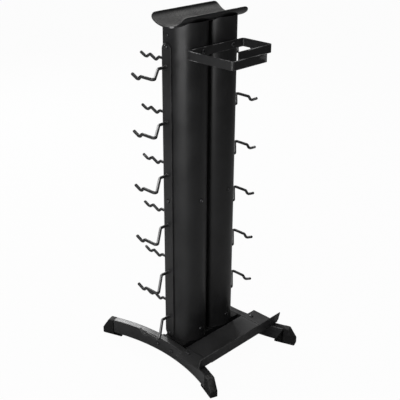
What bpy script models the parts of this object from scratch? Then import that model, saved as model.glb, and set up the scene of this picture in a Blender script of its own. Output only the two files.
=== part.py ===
"""Accessory storage rack: a tower of two columns on bowed legs, with rows of hooks.

Metres, +Z up. The front faces -Y, and the origin is on the floor at the middle of the rack.
Run in Blender 4.5 to build every piece as its own object.
"""
import math

import bmesh
import bpy
from mathutils import Vector

# Clearance between neighbours, screw clearance in a bore, and how far a cutter runs past its cut
GAP = 0.0003
BORE_CLEARANCE = 0.0004
CUT_REACH = 0.020

# Legs: rectangular tubes, bowed so that their ends splay outward
LEG_HALF_LENGTH = 0.3134
LEG_MIDDLE_X = 0.1742
LEG_SPLAY = 0.0681
TUBE_WIDTH = 0.030
TUBE_HEIGHT = 0.060
TUBE_WALL = 0.0025
TUBE_CORNER = 0.004
LEG_SEGMENTS = 16

# Rubber feet: an end cap with a sloping nose, and a sole pad that runs back under the tube
SOLE_THICKNESS = 0.0095
FOOT_LENGTH = 0.052
SOLE_BACK = 0.034
NOSE_TOP = 0.024
NOSE_HEIGHT = 0.0265
NOSE_CHAMFER = 0.003
PLUG_LENGTH = 0.025
PLUG_WIDTH = 0.0234
PLUG_ROOT = 0.006
PLUG_CLEARANCE = 0.0005
FOOT_EDGE = 0.002

# Base cross member: a folded channel with end plates, between the legs
CHANNEL_FRONT = -0.066
CHANNEL_REAR = 0.037
CHANNEL_WALL = 0.004
CHANNEL_BOTTOM = 0.014
END_PLATE_REAR = 0.0545
END_PLATE_CLIP = 0.0105
SLEEVE_HALF_WIDTH = 0.056
SLEEVE_FRONT = -0.044
SLEEVE_TOP = 0.150
SLEEVE_WALL = 0.003

# Columns: tubes with a half-round front, flat sides and a flat back
COLUMN_GROOVE = 0.003
COLUMN_WIDTH = 0.144
COLUMN_REAR = 0.040
COLUMN_NOSE_START = -0.009
COLUMN_TOP = 1.320
COLUMN_WALL = 0.002
COLUMN_CORNER = 0.004
NOSE_STEPS = 20

# Hook strips: flat bars with round ends
STRIP_WIDTH = 0.045
STRIP_THICKNESS = 0.005
STRIP_EDGE = 0.0008
SIDE_STRIP_MIDDLE_Z = 0.660
SIDE_STRIP_Y = {"left": 0.0157, "right": -0.0050}
SIDE_STRIP_LENGTH = 1.172
REAR_STRIP_LENGTH = 1.160

# Hooks: six rows of bent rod. A run lists how far along it each bend, seat and tip comes.
HOOK_ROWS = 6
HOOK_PITCH = 0.200
HOOKS_MIDDLE_Z = 0.664
ROD_RADIUS = 0.00555
WELD_RADIUS = 0.0080
WELD_LENGTH = 0.004
SIDE_HOOK_STRAIGHT = 0.0380
SIDE_HOOK_REACH = 0.142
SIDE_HOOK_OFFSET = -0.0945
SIDE_SEAT_DEPTH = 0.0102
SIDE_HOOK_RUN = (0.0665, 0.0755, 0.0835, 0.110)
SIDE_TIP_RISE = 0.0025
REAR_SEAT_DEPTH = 0.0112
REAR_HOOK_RUN = (0.091, 0.104, 0.109, 0.138, 0.154, 0.164, 0.189)
REAR_TIP_RISE = 0.003
REAR_OUTER_SEAT_RISE = 0.0024
SIDE_HOOK_BENDS = (0.010, 0.007, 0.006, 0.006, 0.006)
REAR_HOOK_BENDS = (0.006,) * 6

# Trough on top: its section is half an ellipse
TROUGH_HALF_WIDTH = 0.077
TROUGH_SHEET = 0.004
TROUGH_LENGTH = 0.332
TROUGH_BOTTOM = 1.302
TROUGH_RIM = 1.343
TROUGH_CORNER = 0.023
TROUGH_STEPS = 28
NOTCH_STEPS = 64
TAB_FRONT = -0.010
TAB_REAR = 0.036
TAB_BOTTOM = 1.245
TAB_THICKNESS = 0.004

# Bar holder: a flat bar bent in plan
BAR_HEIGHT = 0.030
BAR_THICKNESS = 0.005
BAR_EDGE = 0.0006
HOLDER_TOP = 1.237
HOLDER_LEFT = -0.150
HOLDER_RIGHT = 0.132
HOLDER_FRONT = -0.290
HOLDER_INNER_FRONT = -0.2165
HOLDER_OUTER_END = 0.016
HOLDER_INNER_END = -0.040
HOLDER_BEND = 0.010

# Front tray: one sheet with side flanges on the legs, a set-down middle and a leaning lip
TRAY_SHEET = 0.003
TRAY_HALF_WIDTH = 0.228
TRAY_REAR = -0.0884
TRAY_FLANGE_REAR = -0.099
TRAY_BEND_Y = -0.2247
TRAY_STEP_INNER = 0.158
TRAY_STEP_OUTER = 0.1625
TRAY_SET_DOWN = 0.0028
LIP_TOP = 0.120
LIP_LEAN = math.radians(11.5)
LIP_HALF_WIDTH = 0.232
LIP_NOTCH = 0.010
LIP_BEND_RADIUS = 0.0035

# Screws: domed heads with a hex nut on the far side
SHANK_RADIUS = 0.004
HEAD_RADIUS = 0.008
HEAD_HEIGHT = 0.0048
HEAD_RIM = 0.0012
SMALL_HEAD_RADIUS = 0.0065
SMALL_HEAD_HEIGHT = 0.0035
NUT_RADIUS = 0.0075
NUT_THICKNESS = 0.0065
SHANK_TAIL = 0.002
SCREW_STEPS = 10
BORE_SIDES = 8
FRONT_SCREW_HEIGHTS = (0.116, 0.669, 1.222)
SIDE_SCREW_OFFSETS = (-0.573, 0.0, 0.573)
TROUGH_SCREW_Y = 0.0157
TROUGH_SCREW_Z = 1.272
LEG_SCREW_Z = 0.040
LEG_SCREW_Y = (-0.033, 0.045)
TRAY_SCREW_Y = -0.122

# Sizes that follow from the ones above
LEG_RADIUS = (LEG_HALF_LENGTH ** 2 + LEG_SPLAY ** 2) / (2 * LEG_SPLAY)
TUBE_BOTTOM = SOLE_THICKNESS + GAP
TUBE_TOP = TUBE_BOTTOM + TUBE_HEIGHT
SEAM_ANGLE = math.asin(LEG_HALF_LENGTH / LEG_RADIUS) - FOOT_LENGTH / LEG_RADIUS
LEG_INNER_X = LEG_MIDDLE_X - TUBE_WIDTH / 2
CHANNEL_TOP = TUBE_TOP - GAP
COLUMN_BOTTOM = CHANNEL_TOP + GAP
COLUMN_MIDDLE_X = (COLUMN_GROOVE + COLUMN_WIDTH) / 2
COLUMN_SIDE_X = COLUMN_MIDDLE_X + COLUMN_WIDTH / 2
COLUMN_FRONT = COLUMN_NOSE_START - COLUMN_WIDTH / 2
STRIP_FACE_X = COLUMN_SIDE_X + GAP + STRIP_THICKNESS
STRIP_FACE_Y = COLUMN_REAR + GAP + STRIP_THICKNESS
TROUGH_DEPTH = TROUGH_RIM - TROUGH_BOTTOM
TRAY_FLANGE_BOTTOM = TUBE_TOP + GAP
HOLDER_BACK = COLUMN_FRONT - GAP
SIDES = (("left", -1), ("right", 1))

# Finishes: base colour, roughness and metallic of each kind of piece
FINISHES = {
    "leg_paint": ((0.020, 0.020, 0.021), 0.42, 0.0),
    "base_paint": ((0.018, 0.018, 0.019), 0.50, 0.0),
    "column_paint": ((0.022, 0.022, 0.023), 0.38, 0.0),
    "strip_paint": ((0.024, 0.024, 0.025), 0.45, 0.0),
    "hook_paint": ((0.030, 0.030, 0.031), 0.35, 0.0),
    "trough_paint": ((0.026, 0.026, 0.027), 0.45, 0.0),
    "holder_paint": ((0.024, 0.024, 0.025), 0.42, 0.0),
    "tray_paint": ((0.026, 0.026, 0.027), 0.45, 0.0),
    "foot_rubber": ((0.012, 0.012, 0.012), 0.85, 0.0),
    "screw_black": ((0.060, 0.060, 0.062), 0.35, 0.9),
}


def new_collection(name):
    collection = bpy.data.collections.new(name)
    bpy.context.scene.collection.children.link(collection)
    return collection


for old in list(bpy.data.objects):
    bpy.data.objects.remove(old)
PARTS = new_collection("accessory_storage_rack")
CUTTERS = new_collection("cutters")


def material(name):
    """The material of that name, made once from its finish."""
    if name in bpy.data.materials:
        return bpy.data.materials[name]
    colour, roughness, metallic = FINISHES[name]
    made = bpy.data.materials.new(name)
    made.use_nodes = True
    shader = made.node_tree.nodes["Principled BSDF"]
    shader.inputs["Base Color"].default_value = (*colour, 1.0)
    shader.inputs["Roughness"].default_value = roughness
    shader.inputs["Metallic"].default_value = metallic
    made.diffuse_color = (*colour, 1.0)
    return made


def finish(piece, finish_name):
    """Give a piece its material and shade its round stretches smooth."""
    piece.data.materials.clear()
    piece.data.materials.append(material(finish_name))
    if piece.type == "MESH":
        piece.data.shade_smooth()
        piece.data.set_sharp_from_angle(angle=math.radians(35))
    return piece


def mesh_object(name, mesh, collection, location=(0, 0, 0), rotation=(0, 0, 0)):
    made = bpy.data.objects.new(name, mesh)
    made.location = location
    made.rotation_euler = rotation
    collection.objects.link(made)
    return made


def baked_mesh(source, name):
    """The evaluated mesh of an object, welded, as new mesh data."""
    bpy.context.view_layer.update()
    evaluated = source.evaluated_get(bpy.context.evaluated_depsgraph_get())
    mesh = bpy.data.meshes.new_from_object(evaluated)
    mesh.name = name
    shape = bmesh.new()
    shape.from_mesh(mesh)
    bmesh.ops.remove_doubles(shape, verts=shape.verts, dist=0.000002)
    shape.to_mesh(mesh)
    shape.free()
    return mesh


def folded_sheet(name, rows, thickness):
    """A sheet through a grid of points, given an even thickness about that surface."""
    shape = bmesh.new()
    grid = [[shape.verts.new(point) for point in row] for row in rows]
    for near, far in zip(grid, grid[1:]):
        for i in range(len(near) - 1):
            shape.faces.new((near[i], far[i], far[i + 1], near[i + 1]))
    bmesh.ops.recalc_face_normals(shape, faces=shape.faces)
    mesh = bpy.data.meshes.new(name)
    shape.to_mesh(mesh)
    shape.free()
    made = mesh_object(name, mesh, PARTS)
    solidify = made.modifiers.new("sheet", "SOLIDIFY")
    solidify.thickness = thickness
    solidify.offset = 0.0
    solidify.use_even_offset = True
    return made


# How an outline drawn in a curve's own XY plane is turned into the plane that it belongs to
PLANES = {
    "XY": (0.0, 0.0, 0.0),
    "XZ": (math.pi / 2, 0.0, 0.0),
    "YZ": (math.pi / 2, 0.0, math.pi / 2),
}


def outline(name, loops, plane, low, high, collection=PARTS):
    """A flat outline in the given plane, extruded from low to high along the plane's normal.

    The first loop is the outer edge, and any others are holes.
    """
    curve = bpy.data.curves.new(name, "CURVE")
    curve.dimensions = "2D"
    curve.fill_mode = "BOTH"
    curve.extrude = (high - low) / 2
    for loop in loops:
        spline = curve.splines.new("POLY")
        spline.points.add(len(loop) - 1)
        for point, (u, v) in zip(spline.points, loop):
            point.co = (u, v, 0.0, 1.0)
        spline.use_cyclic_u = True
    guide = bpy.data.objects.new(name + "_outline", curve)
    middle = (low + high) / 2
    guide.location = {"XY": (0, 0, middle), "XZ": (0, middle, 0), "YZ": (middle, 0, 0)}[plane]
    guide.rotation_euler = PLANES[plane]
    collection.objects.link(guide)
    mesh = baked_mesh(guide, name)
    made = bpy.data.objects.new(name, mesh)
    made.matrix_world = guide.matrix_world.copy()
    collection.objects.link(made)
    bpy.data.objects.remove(guide)
    return made


def box_loop(u0, u1, v0, v1):
    return [(u0, v0), (u1, v0), (u1, v1), (u0, v1)]


def arc(centre, radius, start, end, steps):
    """Points on an arc from one angle to another, both ends included."""
    angles = [start + (end - start) * i / steps for i in range(steps + 1)]
    return [(centre[0] + radius * math.cos(a), centre[1] + radius * math.sin(a)) for a in angles]


def stadium(centre, width, length, steps=6):
    """A bar's outline with round ends, its length along the second axis."""
    radius = width / 2
    reach = length / 2 - radius
    top = arc((centre[0], centre[1] + reach), radius, 0.0, math.pi, steps)
    bottom = arc((centre[0], centre[1] - reach), radius, math.pi, 2 * math.pi, steps)
    return top + bottom


def rounded_path(corners, radii, steps):
    """A path through corners, each inner corner replaced by an arc of its own radius."""
    corners = [Vector(c) for c in corners]
    path = [corners[0]]
    for before, corner, after, radius, count in zip(corners, corners[1:], corners[2:], radii, steps):
        back = (before - corner).normalized()
        ahead = (after - corner).normalized()
        half_angle = back.angle(ahead) / 2
        room = 0.48 * min((before - corner).length, (after - corner).length)
        tangent = min(radius / math.tan(half_angle), room)
        radius = tangent * math.tan(half_angle)
        centre = corner + (back + ahead).normalized() * (radius / math.sin(half_angle))
        start = corner + back * tangent - centre
        end = corner + ahead * tangent - centre
        turn = start.angle(end)
        for i in range(count + 1):
            share = i / count
            weight_start = math.sin((1 - share) * turn) / math.sin(turn)
            weight_end = math.sin(share * turn) / math.sin(turn)
            path.append(centre + start * weight_start + end * weight_end)
    path.append(corners[-1])
    return path


def bar_outline(path, thickness):
    """The closed plan outline of a bar of even thickness along a flat path."""
    left = []
    right = []
    for i, point in enumerate(path):
        before = path[max(i - 1, 0)]
        after = path[min(i + 1, len(path) - 1)]
        along_in = (point - before).normalized() if i else (after - point).normalized()
        along_out = (after - point).normalized() if i < len(path) - 1 else along_in
        along = (along_in + along_out).normalized()
        across = Vector((-along.y, along.x, 0.0))
        reach = thickness / 2 / max(along.dot(along_in), 0.1)
        left.append(tuple((point + across * reach)[:2]))
        right.append(tuple((point - across * reach)[:2]))
    return left + right[::-1]


def bevel(piece, width, segments=1, by_weight=False):
    modifier = piece.modifiers.new("edges", "BEVEL")
    modifier.width = width
    modifier.segments = segments
    modifier.limit_method = "WEIGHT" if by_weight else "ANGLE"
    modifier.angle_limit = math.radians(50)
    return modifier


def combine(piece, other, operation):
    """Join, cut or trim a piece with another object, which becomes a hidden cutter."""
    modifier = piece.modifiers.new(other.name, "BOOLEAN")
    modifier.operation = operation
    modifier.object = other
    modifier.solver = "EXACT"
    hide(other)


def hide(other):
    other.display_type = "WIRE"
    other.hide_render = True
    other.hide_viewport = False
    if other.name not in CUTTERS.objects:
        CUTTERS.objects.link(other)
    if other.name in PARTS.objects:
        PARTS.objects.unlink(other)


def bores(name, axis, places, low, high):
    """Round cutters along an axis, as one mesh. Each place gives the other two coordinates."""
    radius = SHANK_RADIUS + BORE_CLEARANCE
    shape = bmesh.new()
    direction = {"X": Vector((1, 0, 0)), "Y": Vector((0, 1, 0)), "Z": Vector((0, 0, 1))}[axis]
    rotation = Vector((0, 0, 1)).rotation_difference(direction).to_matrix()
    for u, v in places:
        made = bmesh.ops.create_cone(shape, cap_ends=True, segments=BORE_SIDES, radius1=radius,
                                     radius2=radius, depth=high - low)
        middle = (low + high) / 2
        centre = {"X": (middle, u, v), "Y": (u, middle, v), "Z": (u, v, middle)}[axis]
        bmesh.ops.rotate(shape, verts=made["verts"], cent=(0, 0, 0), matrix=rotation)
        bmesh.ops.translate(shape, verts=made["verts"], vec=centre)
    mesh = bpy.data.meshes.new(name)
    shape.to_mesh(mesh)
    shape.free()
    cutter = mesh_object(name, mesh, CUTTERS)
    hide(cutter)
    return cutter


def leg_x(y):
    """How far from the middle plane a leg's centre line is at a given y."""
    return LEG_MIDDLE_X + LEG_RADIUS - math.sqrt(LEG_RADIUS ** 2 - y ** 2)


def leg_band(sign, half_width, angle):
    """Plan outline of a bowed bar of the given half width, as far as an angle each way."""
    centre_x = LEG_MIDDLE_X + LEG_RADIUS
    inner = arc((centre_x, 0), LEG_RADIUS + half_width, math.pi - angle, math.pi + angle, LEG_SEGMENTS)
    outer = arc((centre_x, 0), LEG_RADIUS - half_width, math.pi + angle, math.pi - angle, LEG_SEGMENTS)
    return [(sign * x, y) for x, y in inner + outer]


def build_legs():
    """The two bowed tubes, hollow and open at both ends, with their screw holes."""
    reach = LEG_MIDDLE_X + LEG_SPLAY
    across = bores("leg_screw_bores", "X", [(y, LEG_SCREW_Z) for y in LEG_SCREW_Y], -reach, reach)
    for side, sign in SIDES:
        leg = outline(f"leg_{side}", [leg_band(sign, TUBE_WIDTH / 2, SEAM_ANGLE)], "XY",
                      TUBE_BOTTOM, TUBE_TOP)
        weigh_edges(leg, runs_along_tube)
        bevel(leg, TUBE_CORNER, segments=2, by_weight=True)
        past_ends = SEAM_ANGLE + CUT_REACH / LEG_RADIUS
        hollow = outline(f"leg_{side}_hollow",
                         [leg_band(sign, TUBE_WIDTH / 2 - TUBE_WALL, past_ends)], "XY",
                         TUBE_BOTTOM + TUBE_WALL, TUBE_TOP - TUBE_WALL, CUTTERS)
        combine(leg, hollow, "DIFFERENCE")
        combine(leg, across, "DIFFERENCE")
        down = bores(f"tray_screw_bore_{side}", "Z", [(sign * leg_x(TRAY_SCREW_Y), TRAY_SCREW_Y)],
                     TUBE_TOP - CUT_REACH, TUBE_TOP + CUT_REACH)
        combine(leg, down, "DIFFERENCE")
        finish(leg, "leg_paint")


def weigh_edges(piece, chosen):
    """Give bevel weight to the edges that a test chooses, and to no others."""
    shape = bmesh.new()
    shape.from_mesh(piece.data)
    weight = shape.edges.layers.float.new("bevel_weight_edge")
    for edge in shape.edges:
        edge[weight] = 1.0 if chosen(edge) else 0.0
    shape.to_mesh(piece.data)
    shape.free()


def runs_along_tube(edge):
    """Whether an edge of a leg is one of the four long corners, and not at an open end."""
    first, second = (v.co for v in edge.verts)
    end = LEG_RADIUS * math.sin(SEAM_ANGLE) - TUBE_WIDTH
    level = abs(first.z - second.z) < GAP
    on_corner = len({round(face.normal.z) for face in edge.link_faces}) == 2
    beyond = abs(first.y) > end and abs(second.y) > end
    crosses = beyond and abs(first.x - second.x) > 0.8 * TUBE_WIDTH
    return level and on_corner and not crosses


def is_outer_corner(edge):
    return edge.is_convex and edge.calc_face_angle(0.0) > math.radians(20)


def build_feet():
    """Four rubber end caps with their plugs and sole pads, each turned with its leg's end."""
    body_loop = [(-SOLE_BACK, 0.0), (FOOT_LENGTH - NOSE_CHAMFER, 0.0), (FOOT_LENGTH, NOSE_CHAMFER),
                 (FOOT_LENGTH, NOSE_HEIGHT), (NOSE_TOP, TUBE_TOP), (GAP, TUBE_TOP),
                 (GAP, SOLE_THICKNESS), (-SOLE_BACK, SOLE_THICKNESS)]
    body = outline("foot_body", [body_loop], "XZ", -TUBE_WIDTH / 2, TUBE_WIDTH / 2)
    weigh_edges(body, is_outer_corner)
    bevel(body, FOOT_EDGE, segments=2, by_weight=True)
    inset = TUBE_WALL + PLUG_CLEARANCE
    plug_loop = box_loop(-PLUG_LENGTH, PLUG_ROOT, TUBE_BOTTOM + inset, TUBE_TOP - inset)
    plug = outline("foot_plug", [plug_loop], "XZ", -PLUG_WIDTH / 2, PLUG_WIDTH / 2, CUTTERS)
    combine(body, plug, "UNION")
    mesh = baked_mesh(body, "foot")
    turned = body.matrix_world.to_3x3()
    for vertex in mesh.vertices:
        vertex.co = turned @ vertex.co
    bpy.data.objects.remove(body)
    bpy.data.objects.remove(plug)
    for side, sign in SIDES:
        for end, forward in (("front", -1), ("rear", 1)):
            seam_x = sign * (LEG_MIDDLE_X + LEG_RADIUS - LEG_RADIUS * math.cos(SEAM_ANGLE))
            seam_y = forward * LEG_RADIUS * math.sin(SEAM_ANGLE)
            heading = math.atan2(forward * math.cos(SEAM_ANGLE), sign * math.sin(SEAM_ANGLE))
            foot = mesh_object(f"foot_{end}_{side}", mesh, PARTS, (seam_x, seam_y, 0), (0, 0, heading))
            finish(foot, "foot_rubber")


def front_screw_places():
    return [(sign * COLUMN_MIDDLE_X, z) for _, sign in SIDES for z in FRONT_SCREW_HEIGHTS]


def build_base(front_bores, leg_bores):
    """Folded channel between the legs, with end plates and a sleeve for each column's foot."""
    end_x = LEG_INNER_X - GAP
    fold = [(CHANNEL_FRONT, CHANNEL_BOTTOM), (CHANNEL_FRONT + CHANNEL_WALL, CHANNEL_BOTTOM),
            (CHANNEL_FRONT + CHANNEL_WALL, CHANNEL_TOP - CHANNEL_WALL),
            (CHANNEL_REAR - CHANNEL_WALL, CHANNEL_TOP - CHANNEL_WALL),
            (CHANNEL_REAR - CHANNEL_WALL, CHANNEL_BOTTOM), (CHANNEL_REAR, CHANNEL_BOTTOM),
            (CHANNEL_REAR, CHANNEL_TOP), (CHANNEL_FRONT, CHANNEL_TOP)]
    base = outline("base_cross_member", [fold], "YZ", -end_x, end_x)
    for side, sign in SIDES:
        near, far = sorted((sign * end_x, sign * (end_x - CHANNEL_WALL)))
        clipped = [(CHANNEL_FRONT, CHANNEL_BOTTOM), (END_PLATE_REAR, CHANNEL_BOTTOM),
                   (END_PLATE_REAR, CHANNEL_TOP - END_PLATE_CLIP),
                   (END_PLATE_REAR - END_PLATE_CLIP, CHANNEL_TOP), (CHANNEL_FRONT, CHANNEL_TOP)]
        plate = outline(f"base_end_plate_{side}", [clipped], "YZ", near, far, CUTTERS)
        combine(base, plate, "UNION")
        middle = sign * COLUMN_MIDDLE_X
        rear = CHANNEL_REAR - 2 * GAP
        outer = box_loop(middle - SLEEVE_HALF_WIDTH, middle + SLEEVE_HALF_WIDTH, SLEEVE_FRONT, rear)
        inner = box_loop(middle - SLEEVE_HALF_WIDTH + SLEEVE_WALL, middle + SLEEVE_HALF_WIDTH - SLEEVE_WALL,
                         SLEEVE_FRONT + SLEEVE_WALL, rear - SLEEVE_WALL)
        sleeve = outline(f"base_sleeve_{side}", [outer, inner], "XY",
                         CHANNEL_TOP - CHANNEL_WALL / 2, SLEEVE_TOP, CUTTERS)
        combine(base, sleeve, "UNION")
    combine(base, leg_bores, "DIFFERENCE")
    combine(base, front_bores, "DIFFERENCE")
    finish(base, "base_paint")


def column_loop(middle, inset):
    """Plan outline of a column: half-round nose, flat sides, small corners at the flat back."""
    half = COLUMN_WIDTH / 2 - inset
    rear = COLUMN_REAR - inset
    corner = COLUMN_CORNER - inset
    nose = arc((middle, COLUMN_NOSE_START), half, math.pi, 2 * math.pi, NOSE_STEPS)
    right = arc((middle + half - corner, rear - corner), corner, 0.0, math.pi / 2, 4)
    left = arc((middle - half + corner, rear - corner), corner, math.pi / 2, math.pi, 4)
    return nose + right + left


def trough_arc(inset, start, end, steps):
    """Points round the ellipse that the trough's outer face follows, drawn in by the inset."""
    angles = [start + (end - start) * i / steps for i in range(steps + 1)]
    return [((TROUGH_HALF_WIDTH - inset) * math.cos(a), TROUGH_RIM + (TROUGH_DEPTH - inset) * math.sin(a))
            for a in angles]


def build_columns(front_bores, side_bores):
    """The two columns, open tubes whose tops are notched round the trough."""
    reach = COLUMN_SIDE_X + CUT_REACH
    ring = trough_arc(-2 * GAP, 0.0, 2 * math.pi, NOTCH_STEPS)[:-1]
    notch = outline("trough_notch", [ring], "YZ", -reach, reach, CUTTERS)
    for side, sign in SIDES:
        middle = sign * COLUMN_MIDDLE_X
        column = outline(f"column_{side}", [column_loop(middle, 0.0), column_loop(middle, COLUMN_WALL)],
                         "XY", COLUMN_BOTTOM, COLUMN_TOP)
        combine(column, notch, "DIFFERENCE")
        combine(column, front_bores, "DIFFERENCE")
        combine(column, side_bores[side], "DIFFERENCE")
        finish(column, "column_paint")


def build_strips(front_bores, side_bores):
    """Side strips on the columns' outer sides, and rear strips down the middle of their backs."""
    for side, sign in SIDES:
        near, far = sorted((sign * (COLUMN_SIDE_X + GAP), sign * STRIP_FACE_X))
        loop = stadium((SIDE_STRIP_Y[side], SIDE_STRIP_MIDDLE_Z), STRIP_WIDTH, SIDE_STRIP_LENGTH)
        strip = outline(f"side_hook_strip_{side}", [loop], "YZ", near, far)
        bevel(strip, STRIP_EDGE)
        combine(strip, side_bores[side], "DIFFERENCE")
        finish(strip, "strip_paint")
        middle_z = (FRONT_SCREW_HEIGHTS[0] + FRONT_SCREW_HEIGHTS[-1]) / 2
        loop = stadium((sign * COLUMN_MIDDLE_X, middle_z), STRIP_WIDTH, REAR_STRIP_LENGTH)
        rear = outline(f"rear_hook_strip_{side}", [loop], "XZ", COLUMN_REAR + GAP, STRIP_FACE_Y)
        bevel(rear, STRIP_EDGE)
        combine(rear, front_bores, "DIFFERENCE")
        finish(rear, "strip_paint")


def rod_curve(name, corners, radii, steps):
    """A bent rod along a rounded path, with a wider weld collar at its root."""
    path = rounded_path(corners, radii, steps)
    root = path[0]
    along = (path[1] - root).normalized()
    collar = [root, root + along * WELD_LENGTH, root + along * 1.6 * WELD_LENGTH]
    points = collar + path[1:]
    widths = [WELD_RADIUS / ROD_RADIUS, 0.92 * WELD_RADIUS / ROD_RADIUS] + [1.0] * (len(points) - 2)
    curve = bpy.data.curves.new(name, "CURVE")
    curve.dimensions = "3D"
    curve.bevel_depth = ROD_RADIUS
    curve.bevel_resolution = 2
    curve.use_fill_caps = True
    spline = curve.splines.new("POLY")
    spline.points.add(len(points) - 1)
    for point, place, width in zip(spline.points, points, widths):
        point.co = (*place, 1.0)
        point.radius = width
    return curve


def side_hook_corners():
    """Corners of a side hook from its root, outward along -X, for the left side.

    The rod runs out of the strip, slants forward, then returns level along the rack's side to a
    seat and a raised tip.
    """
    reach = -SIDE_HOOK_REACH
    bend, seat_start, seat_end, tip = (SIDE_HOOK_OFFSET + along for along in SIDE_HOOK_RUN)
    seat = -SIDE_SEAT_DEPTH
    return [(0, 0, 0), (-SIDE_HOOK_STRAIGHT, 0, 0), (reach, SIDE_HOOK_OFFSET, 0), (reach, bend, 0),
            (reach, seat_start, seat), (reach, seat_end, seat), (reach, tip, SIDE_TIP_RISE)]


def rear_hook_corners():
    """Corners of a rear hook from its root, straight out along +Y, with two seats and a raised tip."""
    inner = -REAR_SEAT_DEPTH
    outer = inner + REAR_OUTER_SEAT_RISE
    heights = (0, inner, inner, REAR_TIP_RISE, outer, outer, REAR_TIP_RISE)
    return [(0, 0, 0)] + [(0, along, height) for along, height in zip(REAR_HOOK_RUN, heights)]


def build_hooks():
    """Six rows of hooks: the right side hooks turned half round, and one behind each column."""
    side_curve = rod_curve("side_hook", side_hook_corners(), SIDE_HOOK_BENDS, (2, 3, 1, 1, 1))
    rear_curve = rod_curve("rear_hook", rear_hook_corners(), REAR_HOOK_BENDS, (1,) * 6)
    for row in range(HOOK_ROWS):
        z = HOOKS_MIDDLE_Z + (row - (HOOK_ROWS - 1) / 2) * HOOK_PITCH
        for side, sign in SIDES:
            hook = bpy.data.objects.new(f"side_hook_{side}_{row + 1}", side_curve)
            hook.location = (sign * (STRIP_FACE_X + GAP), SIDE_STRIP_Y[side], z)
            hook.rotation_euler = (0, 0, math.pi if sign > 0 else 0)
            PARTS.objects.link(hook)
            finish(hook, "hook_paint")
            rear = bpy.data.objects.new(f"rear_hook_{side}_{row + 1}", rear_curve)
            rear.location = (sign * COLUMN_MIDDLE_X, STRIP_FACE_Y + GAP, z)
            PARTS.objects.link(rear)
            finish(rear, "hook_paint")


def build_trough(side_bores):
    """Curved sheet with round corners, and the two tabs under it that go down inside the columns."""
    band = (trough_arc(0.0, math.pi, 2 * math.pi, TROUGH_STEPS)
            + trough_arc(TROUGH_SHEET, 2 * math.pi, math.pi, TROUGH_STEPS))
    half = TROUGH_LENGTH / 2
    trough = outline("trough", [band], "YZ", -half, half)
    reach = half - TROUGH_CORNER
    corner_z = TROUGH_RIM - TROUGH_CORNER
    face = (arc((reach, corner_z), TROUGH_CORNER, 0.0, math.pi / 2, 6)
            + arc((-reach, corner_z), TROUGH_CORNER, math.pi / 2, math.pi, 6)
            + [(-half, TROUGH_BOTTOM - CUT_REACH), (half, TROUGH_BOTTOM - CUT_REACH)])
    corners = outline("trough_corners", [face], "XZ", -TROUGH_HALF_WIDTH - CUT_REACH,
                      TROUGH_HALF_WIDTH + CUT_REACH, CUTTERS)
    combine(trough, corners, "INTERSECT")
    width, depth = TROUGH_HALF_WIDTH - TROUGH_SHEET / 2, TROUGH_DEPTH - TROUGH_SHEET / 2
    under = [(y, TROUGH_RIM - depth * math.sqrt(1 - (y / width) ** 2))
             for y in (TAB_REAR + (TAB_FRONT - TAB_REAR) * i / 6 for i in range(7))]
    tab_loop = [(TAB_FRONT, TAB_BOTTOM), (TAB_REAR, TAB_BOTTOM)] + under
    for side, sign in SIDES:
        wall = COLUMN_SIDE_X - COLUMN_WALL - GAP
        near, far = sorted((sign * wall, sign * (wall - TAB_THICKNESS)))
        tab = outline(f"trough_tab_{side}", [tab_loop], "YZ", near, far, CUTTERS)
        combine(trough, tab, "UNION")
        combine(trough, side_bores[side], "DIFFERENCE")
    finish(trough, "trough_paint")


def build_holder(front_bores):
    """Flat bar bent in plan: back against the columns, two side arms, and two overlapping fronts."""
    half = BAR_THICKNESS / 2
    back = HOLDER_BACK - half
    front = HOLDER_FRONT + half
    inner = HOLDER_INNER_FRONT + half
    left = HOLDER_LEFT + half
    right = HOLDER_RIGHT - half
    corners = [(HOLDER_OUTER_END, front, 0), (left, front, 0), (left, back, 0), (right, back, 0),
               (right, inner, 0), (HOLDER_INNER_END, inner, 0)]
    path = rounded_path(corners, (HOLDER_BEND - half,) * 4, (4,) * 4)
    holder = outline("bar_holder", [bar_outline(path, BAR_THICKNESS)], "XY",
                     HOLDER_TOP - BAR_HEIGHT, HOLDER_TOP)
    bevel(holder, BAR_EDGE)
    combine(holder, front_bores, "DIFFERENCE")
    finish(holder, "holder_paint")


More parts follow.
